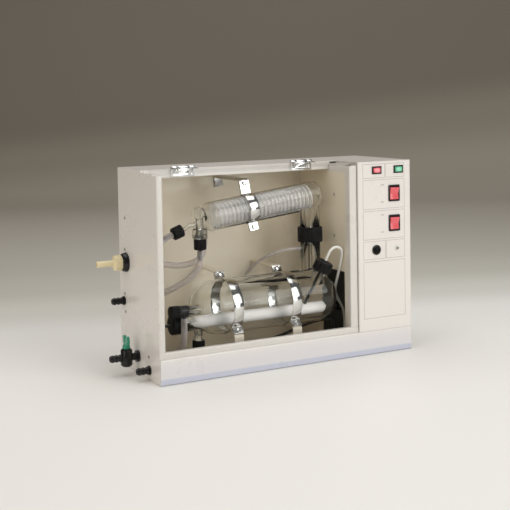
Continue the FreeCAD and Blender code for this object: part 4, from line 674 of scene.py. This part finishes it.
@dataclass(frozen=True)
class Dressing:
    """A welded, smoothed and edge-rounded copy that stands in for a CAD node.

    Args:
        node: The CAD node.
        finish: The copy's finish.
        smooth: The angle in degrees under which its faces shade smoothly.
        edge: The rounding of its edges in millimetres, or 0 for none.
        flat: Whether its broad faces are shaded flat up to their rounded edges.
        weld: How near corners are when they are welded, in millimetres.
        level: The angle in degrees under which faces are taken for one.
        sharp: The angle in degrees from which an edge is rounded.
    """

    node: str
    finish: Finish
    smooth: float = 35.0
    edge: float = 0.0
    flat: bool = False
    weld: float = 0.002
    level: float = 0.6
    sharp: float = 42.0

    def build(self) -> None:
        """Make the copy and let it replace the node."""
        source = frame["nodes"][self.node]
        piece = placed(self.node + "_finished", source.data.copy())
        select_only(piece)
        bpy.ops.object.mode_set(mode="EDIT")
        bpy.ops.mesh.select_all(action="SELECT")
        bpy.ops.mesh.remove_doubles(threshold=self.weld * MM)
        if self.edge > 0:
            bpy.ops.mesh.dissolve_limited(angle_limit=math.radians(self.level))
        bpy.ops.object.mode_set(mode="OBJECT")
        if self.edge > 0:
            shaped(piece, "BEVEL", width=self.edge * MM, segments=2, limit_method="ANGLE",
                   angle_limit=math.radians(self.sharp), use_clamp_overlap=True)
        bpy.ops.object.shade_smooth_by_angle(angle=math.radians(self.smooth))
        if self.flat:
            shaped(piece, "WEIGHTED_NORMAL", keep_sharp=True)
        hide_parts(self.node)
        settle(piece, self.finish, body_holding(self.node))


@dataclass
class SubAssembly:
    """Pieces that are dressed together.

    Args:
        pieces: The dressings of its nodes.
    """

    pieces: tuple[Dressing, ...] = ()

    def build(self) -> None:
        """Dress every piece."""
        for piece in self.pieces:
            piece.build()


def joined(pieces: Sequence[Object], name: str) -> Object:
    """Join several objects into one.

    Args:
        pieces: The objects, of which the first stays.
        name: The result's name.

    Returns:
        The joined object.
    """
    deselect()
    for piece in pieces:
        piece.select_set(True)
    bpy.context.view_layer.objects.active = pieces[0]
    if len(pieces) > 1:
        bpy.ops.object.join()
    pieces[0].name = name
    return pieces[0]


def copied(piece: Object, place: Vector, turn: Matrix) -> Object:
    """Return a copy with a mesh of its own, moved to a place.

    Args:
        piece: The object to copy.
        place: Where the copy goes.
        turn: How it is turned.

    Returns:
        The copy.
    """
    twin = placed(piece.name, piece.data.copy())
    twin.matrix_world = Matrix.Translation(place) @ turn
    return twin


def dispose(piece: Object) -> None:
    """Remove a pattern object that has been copied."""
    bpy.data.objects.remove(piece, do_unlink=True)


# Sub-assemblies


@dataclass
class Case(SubAssembly):
    """The folded enamelled case and its screws.

    Args:
        pieces: The sheets that the case is folded from.
        head: The radius and height of a case screw's head, in millimetres.
        hinge_head: The radius and height of a hinge screw's head, in millimetres.
        fixed: Where the case's screws are, and which way they face.
        hinges: The middles of the two hinges.
        spread: How far a hinge's screws are from its middle.
        dome: The share of a head's height that is rounded.
        recess: The recess's length and width in head radii, and its depth in head heights.
        shank: The shank's radius in head radii, and its length in millimetres.
    """

    pieces: tuple[Dressing, ...] = tuple(
        Dressing(sheet, ENAMEL, 30.0, 0.35, True) for sheet in (
            "base_tray", "left_side_panel", "right_side_panel", "rear_panel", "top_cover",
            "partition_wall", "control_panel", "boiler_straps"))
    head: Span = (3.2, 1.8)
    hinge_head: Span = (2.8, 1.4)
    fixed: tuple[tuple[Point, Facing], ...] = (
        ((0, 165, 289), Facing.LEFT), ((0, 169, 228), Facing.LEFT),
        ((0, 174, 141), Facing.LEFT), ((0, 172, 106), Facing.LEFT),
        ((0, 56, 42), Facing.LEFT), ((408, 61, 319), Facing.LEFT),
        ((408, 62, 235), Facing.LEFT), ((12, 200, 372), Facing.BACK),
        ((538, 200, 372), Facing.BACK), ((12, 200, 30), Facing.BACK),
        ((538, 200, 30), Facing.BACK))
    hinges: Span = (84.5, 342.0)
    spread: float = 15.0
    dome: float = 0.75
    recess: Point = (1.15, 0.24, 1.1)
    shank: Span = (0.48, 4.2)

    def build(self) -> None:
        """Dress every folded sheet and the screws that hold them."""
        super().build()
        self.screws()

    def pattern_screw(self, size: Span) -> Object:
        """Model one pan head screw with a cross recess, standing on its underside.

        Args:
            size: The head's radius and height in millimetres.

        Returns:
            The pattern at the origin, with its head towards +Z.
        """
        radius, height = (length * MM for length in size)
        shank_radius, shank_length = self.shank[0] * radius, self.shank[1] * MM
        deselect()
        bpy.ops.mesh.primitive_cylinder_add(vertices=32, radius=radius, depth=height,
                                            location=(0, 0, height / 2))
        head = bpy.context.object
        shaped(head, "BEVEL", width=height * self.dome, segments=4, limit_method="ANGLE")
        cutters = []
        for turn in (0.0, math.pi / 2):
            deselect()
            bpy.ops.mesh.primitive_cube_add(size=1.0, location=(0, 0, height),
                                            rotation=(0, 0, turn))
            cutter = bpy.context.object
            long, wide, deep = self.recess
            cutter.scale = (radius * long, radius * wide, height * deep)
            bpy.ops.object.transform_apply(scale=True, rotation=True, location=True)
            cutters.append(cutter)
        for cutter in cutters:
            select_only(head)
            shaped(head, "BOOLEAN", operation="DIFFERENCE", object=cutter, solver="EXACT")
            dispose(cutter)
        deselect()
        bpy.ops.mesh.primitive_cylinder_add(vertices=16, radius=shank_radius,
                                            depth=shank_length,
                                            location=(0, 0, -shank_length / 2))
        shank = bpy.context.object
        screw = joined([head, shank], "screw_pattern")
        select_only(screw)
        bpy.ops.object.shade_smooth_by_angle(angle=math.radians(35))
        return screw

    def screws(self) -> None:
        """Copy the screw to each place on the case and on the hinges."""
        spots = [left + side * self.spread for left in self.hinges for side in (-1, 1)]
        large = self.pattern_screw(self.head)
        small = self.pattern_screw(self.hinge_head)
        fixed = [copied(large, at(*place), facing.turn()) for place, facing in self.fixed]
        fixed += [copied(small, at(spot, 78.8, 377), Facing.FRONT.turn()) for spot in spots]
        moving = [copied(small, at(spot, 66.4, 386.2), Facing.UP.turn()) for spot in spots]
        for pattern in (large, small):
            dispose(pattern)
        still = joined(fixed, "case_screw_heads")
        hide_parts("case_screws")
        settle(still, ZINC, body_holding("case_screws"))
        lid = joined(moving, "cover_screw_heads")
        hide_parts("cover_screws")
        settle(lid, ZINC, body_holding("cover_screws"))


@dataclass
class Cover(SubAssembly):
    """The clear folded cover with its chrome hinges."""

    pieces: tuple[Dressing, ...] = (
        Dressing("clear_cover", ACRYLIC, 30.0, 0.3),
        Dressing("hinge_fixed_leaves", HINGE_CHROME, 35.0, 0.2),
        Dressing("hinge_moving_leaves", HINGE_CHROME, 35.0, 0.2))


@dataclass
class Glassware(SubAssembly):
    """The blown glass, its seal, its cup and what reaches into it."""

    pieces: tuple[Dressing, ...] = (
        Dressing("boiler_glass", GLASS, 50.0),
        Dressing("condenser_glass", GLASS, 50.0),
        Dressing("condenser_coil", COIL_GLASS, 60.0),
        Dressing("outlet_cup", CUP),
        Dressing("column_seal_ring", SILICONE, 35.0, 0.3),
        Dressing("heater_sheath", QUARTZ, 40.0),
        Dressing("level_probe", BLACK_GLOSS, 40.0))

    def build(self) -> None:
        """Dress the glass and paint the element inside the heater."""
        super().build()
        element = frame["nodes"]["heater_element"].data
        element.materials.clear()
        element.materials.append(CORE.material())


@dataclass
class ScrewCaps(SubAssembly):
    """The fluted black caps and the tails that they hold."""

    pieces: tuple[Dressing, ...] = tuple(
        Dressing(cap + "_cap", BLACK_CAP, 35.0, 0.3)
        for cap in ("column", "sensor", "outlet", "inlet", "feed", "heater", "drain")) + (
        Dressing("hose_tails", BLACK_GLOSS), Dressing("feed_elbow", BLACK_GLOSS, 35.0, 0.3))


@dataclass
class Clamps(SubAssembly):
    """The polished bands, their bolts and the strap of the condenser."""

    pieces: tuple[Dressing, ...] = (
        Dressing("boiler_clamps", POLISHED, 30.0, 0.2),
        Dressing("condenser_clamp", POLISHED, 30.0, 0.2),
        Dressing("condenser_strap", POLISHED, 30.0, 0.2),
        Dressing("clamp_bolts", POLISHED, 35.0, 0.3))


@dataclass
class WallFittings(SubAssembly):
    """The nozzle, barbs and tap on the left wall and the nuts behind them."""

    pieces: tuple[Dressing, ...] = (
        Dressing("distillate_nozzle", IVORY, 35.0, 0.3),
        Dressing("nozzle_ring", BLACK_GLOSS, 35.0, 0.3),
        Dressing("water_barbs", BLACK_GLOSS, 35.0, 0.2),
        Dressing("tap_body", BLACK_GLOSS, 35.0, 0.3),
        Dressing("tap_handle", GREEN_HANDLE, 35.0, 0.5),
        Dressing("wall_nuts", BLACK_GLOSS, 30.0, 0.3))


@dataclass
class ControlPanel(SubAssembly):
    """The lamps, switches, fuse and printed frames of the panel, with sizes in millimetres.

    Args:
        pieces: The fitted parts.
        line: The width of a printed line.
        ink: How thick the print is.
        cells: The left, lower, right and upper edges of the printed frames.
        words: Each switch word, how far it is above its rocker's middle, and its left edge.
        switches: The heights of the rockers' middles.
        letter: The height of a letter's line.
        relief: Half the thickness of a word.
        lift: How far the middle of a word stands off the panel.
    """

    pieces: tuple[Dressing, ...] = (
        Dressing("lamp_bezels", BLACK_GLOSS, 30.0, 0.3),
        Dressing("red_lens", RED_LAMP, 40.0),
        Dressing("green_lens", GREEN_LAMP, 40.0),
        Dressing("rocker_bezels", BLACK_GLOSS, 35.0, 0.3),
        Dressing("upper_rocker", RED_ROCKER, 40.0, 0.4),
        Dressing("lower_rocker", RED_ROCKER, 40.0, 0.4),
        Dressing("fuse_holder", BLACK_GLOSS, 35.0, 0.2),
        Dressing("fuse_carrier", BLACK_CAP, 35.0, 0.3),
        Dressing("thermal_cutout", STRIP),
        Dressing("reset_button", GREY_BUTTON))
    line: float = 0.55
    ink: float = 0.08
    cells: tuple[tuple[float, float, float, float], ...] = (
        (436.5, 352.0, 489.0, 380.0), (491.0, 352.0, 536.0, 380.0), (436.5, 290.0, 536.0, 348.5),
        (436.5, 229.5, 536.0, 286.5), (436.5, 190.0, 489.0, 226.0), (491.0, 190.0, 536.0, 226.0),
        (436.5, 72.0, 536.0, 185.5))
    words: tuple[tuple[str, float, float], ...] = (("OFF", 15.5, 478.5), ("ON", -18.5, 478.5))
    switches: Span = (320.0, 260.0)
    letter: float = 4.8
    relief: float = 0.03
    lift: float = 0.05

    def build(self) -> None:
        """Dress the fitted parts and print the frames and the switch words."""
        super().build()
        self.frames()
        for middle in self.switches:
            for text, above, left in self.words:
                self.word(text, left, middle + above)

    def bar(self, left: float, low: float, width: float, height: float) -> Object:
        """Return one thin printed bar on the panel's face, in millimetres."""
        deselect()
        centre = at(left + width / 2, -self.ink / 2, low + height / 2)
        bpy.ops.mesh.primitive_cube_add(size=1.0, location=centre)
        bar = bpy.context.object
        bar.scale = (width * MM, self.ink * MM, height * MM)
        bpy.ops.object.transform_apply(scale=True, location=True, rotation=True)
        return bar

    def outline(self, left: float, low: float, right: float, high: float
                ) -> list[Object]:
        """Return the four bars of a printed frame."""
        line = self.line
        return [self.bar(left, low, right - left, line),
                self.bar(left, high - line, right - left, line),
                self.bar(left, low, line, high - low),
                self.bar(right - line, low, line, high - low)]

    def frames(self) -> None:
        """Print the frames round the panel's cells."""
        bars = [bar for cell in self.cells for bar in self.outline(*cell)]
        settle(joined(bars, "panel_frames"), PRINT, body_holding("control_panel"))

    def word(self, text: str, left: float, up: float) -> None:
        """Print a switch word beside a rocker.

        Args:
            text: The word.
            left: Its left edge in millimetres.
            up: Its foot in millimetres.
        """
        deselect()
        bpy.ops.object.text_add(location=at(left, -self.lift, up), rotation=(math.pi / 2, 0, 0))
        words = bpy.context.object
        words.data.body = text
        words.data.size = self.letter * MM
        words.data.extrude = self.relief * MM
        bpy.ops.object.convert(target="MESH")
        printed = bpy.context.object
        printed.name = "word_%s_%d" % (text.lower(), round(up))
        settle(printed, PRINT, body_holding("control_panel"))


@dataclass
class BoxInside(SubAssembly):
    """The terminal strip in the control box and the fittings of the back."""

    pieces: tuple[Dressing, ...] = (
        Dressing("terminal_block", STRIP, 30.0, 0.4),
        Dressing("rear_fittings", BLACK_GLOSS, 35.0, 0.3))


class Stiffness(Enum):
    """How stiff a hose or cable is."""

    LIMP = "limp"
    MEDIUM = "medium"


@dataclass
class Route:
    """One hose or cable and the facts about it.

    Args:
        node: The CAD node that it stands for.
        finish: Its finish.
        diameter: Its diameter in metres.
        length: Its length in metres; not used.
        stiffness: How stiff it is; not used.
        points: The places that it runs by, in millimetres.
    """

    node: str
    finish: Finish
    diameter: float
    length: float
    stiffness: Stiffness
    points: tuple[Point, ...]

    def build(self) -> None:
        """Lay the hose along its points as one smooth spline."""
        curve = bpy.data.curves.new(self.node + "_line", "CURVE")
        curve.dimensions = "3D"
        curve.resolution_u = 10
        curve.bevel_depth = self.diameter / 2
        curve.bevel_resolution = 6
        curve.use_fill_caps = True
        spline = curve.splines.new("NURBS")
        spline.points.add(len(self.points) - 1)
        for target, place in zip(spline.points, self.points):
            target.co = (*at(*place), 1.0)
        spline.order_u = 3
        spline.use_endpoint_u = True
        piece = placed(self.node + "_laid", curve)
        curve.materials.append(self.finish.material())
        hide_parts(self.node)
        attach(piece, body_holding(self.node))
        LOG.info("%s laid", piece.name)


def hose_routes() -> list[Route]:
    """Return the hoses and the two cables."""
    return [
        Route("distillate_hose", CLEAR_HOSE, 0.012, 0.178, Stiffness.MEDIUM, (
            (136, 97, 252), (136, 97, 226), (127, 98, 208), (106, 101, 199), (80, 106, 197),
            (56, 117, 201), (25.68, 134.32, 204), (17.65, 155.88, 204))),
        Route("return_hose", CLEAR_HOSE, 0.012, 0.192, Stiffness.MEDIUM, (
            (116, 75, 227), (116, 75, 205), (110, 79, 188), (96, 88, 172), (77, 101, 158),
            (54, 118, 144), (31, 134, 131), (22.64, 148.37, 127), (16.9, 170.64, 127))),
        Route("supply_hose", CLEAR_HOSE, 0.012, 0.257, Stiffness.MEDIUM, (
            (59.33, 75, 261.48), (34.9, 75, 252.58), (21, 71, 228), (16, 66, 196),
            (15, 60, 158), (18, 56, 120), (16, 54, 84), (15, 54, 48.6), (15, 54, 25.6))),
        Route("feed_hose", CLEAR_HOSE, 0.012, 0.129, Stiffness.MEDIUM, (
            (69, 50, 107), (69, 50, 74), (69, 60, 48), (55, 78, 34), (39.48, 91.64, 33),
            (21.08, 105.44, 33))),
        Route("vent_hose", CLEAR_HOSE, 0.006, 0.204, Stiffness.LIMP, (
            (337, 75, 214), (318, 75.5, 214.5), (297, 81, 212), (276, 92, 204),
            (260, 110, 191), (251, 132, 173), (247, 154, 150), (246, 176, 134),
            (246, 199.5, 134))),
        Route("sensor_cable", SLEEVE, 0.0055, 0.282, Stiffness.LIMP, (
            (365.63, 28.7, 192.91), (369.6, 25.12, 203.65), (372.4, 23.5, 211.3),
            (378.6, 22.5, 216.8), (386.8, 22.5, 218.6), (394.8, 23, 216.4), (400.8, 24.5, 210.6),
            (403.4, 27.5, 202.7), (402.5, 34, 180), (402.5, 43, 156), (408, 59, 138),
            (418, 80, 120), (432, 93, 102), (448, 95, 78), (451.5, 95, 48), (451.5, 95, 15))),
        Route("heater_lead", LEAD, 0.006, 0.623, Stiffness.LIMP, (
            (60, 75, 91), (44, 75, 91), (28, 81, 90), (19, 98, 83), (18, 124, 66),
            (24, 152, 42), (46, 174, 20), (96, 186, 8), (160, 184, 6), (226, 188, 7),
            (292, 184, 6), (344, 178, 16), (376, 158, 34), (396, 122, 52), (408, 103, 58),
            (419, 97, 56), (427.5, 94, 46), (430.5, 94, 30), (430.5, 94, 15))),
    ]


@dataclass(frozen=True)
class Lamp:
    """One square soft lamp that looks at the still.

    Args:
        name: The lamp's name.
        place: Where it hangs, in metres.
        size: Its side in metres.
        power: Its power in watts.
        colour: Its light's colour.
    """

    name: str
    place: Point
    size: float
    power: float
    colour: Colour = (1.0, 1.0, 1.0)

    def hang(self, target: Vector) -> None:
        """Hang the lamp so that it looks at a target.

        Args:
            target: The place that it looks at.
        """
        light = bpy.data.lights.new(self.name, "AREA")
        light.color = self.colour
        light.size = self.size
        light.energy = self.power
        hanging = placed(self.name, light)
        aim = target - Vector(self.place)
        hanging.matrix_world = (Matrix.Translation(self.place)
                                @ aim.to_track_quat("-Z", "Y").to_matrix().to_4x4())


@dataclass
class Studio:
    """The camera, the lamps, the floor and the backdrop.

    Args:
        camera_place: Where the camera stands, in the still's millimetres.
        yaw: The camera's turn from straight ahead, in degrees.
        pitch: How far it looks down, in degrees.
        roll: How far it is tilted, in degrees.
        lens: Its focal length in millimetres.
        shift: How far the picture is shifted across and up.
        air: How bright the room's light is.
        mirrored_air: How bright the room looks in shiny surfaces.
        lamps: The soft lamps.
        lamps_look_at: The place that the lamps look at, in metres.
        floor: The width and depth of the sweep's floor in metres.
        bend: The radius of the sweep's bend in metres.
        bend_steps: How many facets the bend has.
        rise: How high the sweep goes on above its bend, in metres.
        fade_far: How far along the sweep its darkest colour begins, in metres.
        fade_run: How long the fade is, in metres.
        fade_lean: How much the fade leans to one side.
        fade: The sweep's colours with their painted shade, from its back down to the floor at the
            still.
    """

    camera_place: Point = (-707.0, -1727.0, 517.0)
    yaw: float = -27.6
    pitch: float = 2.9
    roll: float = -1.0
    lens: float = 73.98
    shift: Span = (0.002, -0.2059)
    air: float = 0.42
    mirrored_air: float = 0.16
    lamps: tuple[Lamp, ...] = (
        Lamp("Key", (1.1, -2.6, 1.7), 2.0, 42.0),
        Lamp("Left Fill", (-2.8, -0.9, 1.2), 1.8, 20.0, (1.0, 0.90, 0.79)),
        Lamp("Overhead", (0.0, 0.3, 2.6), 2.4, 34.0),
        Lamp("Chamber", (0.8, -2.5, 0.5), 0.9, 7.0))
    lamps_look_at: Point = (0.0, 0.0, 0.18)
    floor: Span = (20.0, 6.0)
    bend: float = 1.4
    bend_steps: int = 10
    rise: float = 4.0
    fade_far: float = 4.572
    fade_run: float = 4.241
    fade_lean: float = 0.2
    fade: tuple[tuple[float, Colour], ...] = (
        (0.0, (0.25, 0.22, 0.175)), (0.106, (0.35, 0.305, 0.245)), (0.245, (0.46, 0.41, 0.34)),
        (0.53, (0.53, 0.49, 0.42)), (0.78, (0.53, 0.50, 0.44)), (0.87, (0.56, 0.54, 0.48)),
        (0.942, (0.69, 0.67, 0.61)), (1.0, (0.85, 0.83, 0.79)))

    def build(self) -> None:
        """Set the camera, the stage and the lamps."""
        self.camera()
        self.sweep()
        for lamp in self.lamps:
            lamp.hang(Vector(self.lamps_look_at))
        bpy.context.scene.view_settings.view_transform = "Standard"
        self.room()

    def room(self) -> None:
        """Fill the room with even light, which looks dimmer in shiny surfaces."""
        world = bpy.data.worlds.new("Studio Air")
        world.use_nodes = True
        sky = world.node_tree.nodes["Background"]
        sky.inputs["Color"].default_value = (0.86, 0.86, 0.85, 1.0)
        made = Tree(world.node_tree)
        mirrored = made.add("LightPath").outputs["Is Glossy Ray"]
        dimmed = made.math("MULTIPLY", mirrored, self.air - self.mirrored_air)
        made.feed(sky, "Strength", made.math("SUBTRACT", self.air, dimmed))
        bpy.context.scene.world = world

    def camera(self) -> None:
        """Stand the camera where the photograph was taken from."""
        yaw, pitch, roll = (math.radians(v) for v in (self.yaw, self.pitch, self.roll))
        ahead = Vector((-math.sin(yaw) * math.cos(pitch), math.cos(yaw) * math.cos(pitch),
                        -math.sin(pitch)))
        right = Vector((math.cos(yaw), math.sin(yaw), 0.0))
        up = right.cross(ahead)
        side = right * math.cos(roll) + up * math.sin(roll)
        top = up * math.cos(roll) - right * math.sin(roll)
        turn = Matrix((side, top, -ahead)).transposed().to_4x4()
        camera = bpy.data.cameras.new("Camera")
        camera.lens = self.lens
        camera.sensor_width = 36.0
        camera.shift_x, camera.shift_y = self.shift
        stand = placed("Camera", camera)
        stand.matrix_world = Matrix.Translation(at(*self.camera_place)) @ turn
        bpy.context.scene.camera = stand

    def stage_material(self) -> Material:
        """Return the sweep's paint, with a painted shade that darkens it to the back and up the
        rise.
        """
        material = bpy.data.materials.new("Studio Sweep")
        material.use_nodes = True
        made = Tree(material.node_tree)
        shader = material.node_tree.nodes["Principled BSDF"]
        place = made.add("TexCoord").outputs["Object"]
        parts = made.add("SeparateXYZ", Vector=place).outputs
        # Painted shade: the sweep darkens with distance along it, away from the still.
        along = made.math("ADD", parts["Y"], parts["Z"])
        across = made.math("MULTIPLY", parts["X"], self.fade_lean)
        run = made.math("SUBTRACT", along, across)
        left = made.math("SUBTRACT", self.fade_far, run)
        ramp = made.add("ValToRGB", Fac=made.math("DIVIDE", left, self.fade_run))
        ramp.color_ramp.interpolation = "EASE"
        for index, (place_on_ramp, colour) in enumerate(self.fade):
            if index > 1:
                ramp.color_ramp.elements.new(place_on_ramp)
            ramp.color_ramp.elements[index].position = place_on_ramp
            ramp.color_ramp.elements[index].color = (*colour, 1.0)
        made.feed(shader, "Base Color", ramp.outputs["Color"])
        shader.inputs["Roughness"].default_value = 0.55
        return material

    def sweep(self) -> None:
        """Model the floor and the backdrop as one swept sheet."""
        deselect()
        bpy.ops.mesh.primitive_plane_add(size=1.0, location=(0, 0, -0.0005))
        sheet = bpy.context.object
        sheet.name = "studio_sweep"
        sheet.scale = (*self.floor, 1.0)
        bpy.ops.object.transform_apply(scale=True, location=True)
        bpy.ops.object.mode_set(mode="EDIT")
        bpy.ops.mesh.select_all(action="DESELECT")
        bpy.ops.mesh.select_mode(type="EDGE")
        mesh = bmesh.from_edit_mesh(sheet.data)
        for edge in mesh.edges:
            edge.select_set(all(corner.co.y > self.floor[1] * 0.48 for corner in edge.verts))
        bmesh.update_edit_mesh(sheet.data)
        angles = [math.pi / 2 * step / self.bend_steps for step in range(self.bend_steps + 1)]
        for before, after in zip(angles, angles[1:]):
            move = (0.0, self.bend * (math.sin(after) - math.sin(before)),
                    self.bend * (math.cos(before) - math.cos(after)))
            bpy.ops.mesh.extrude_region_move(TRANSFORM_OT_translate={"value": move})
        bpy.ops.mesh.extrude_region_move(TRANSFORM_OT_translate={"value": (0, 0, self.rise)})
        bpy.ops.object.mode_set(mode="OBJECT")
        bpy.ops.object.shade_smooth()
        sheet.rotation_euler.z = math.radians(self.yaw)
        sheet.data.materials.append(self.stage_material())


def main() -> None:
    """Build the still in order and report each piece."""
    logging.basicConfig(level=logging.INFO, format="%(message)s")
    Studio().build()
    for route in hose_routes():
        route.build()
    for assembly in (Case(), Cover(), Glassware(), ScrewCaps(), Clamps(), WallFittings(),
                     ControlPanel(), BoxInside()):
        assembly.build()
        LOG.info("%s done", type(assembly).__name__)


if __name__ == "__main__":
    main()
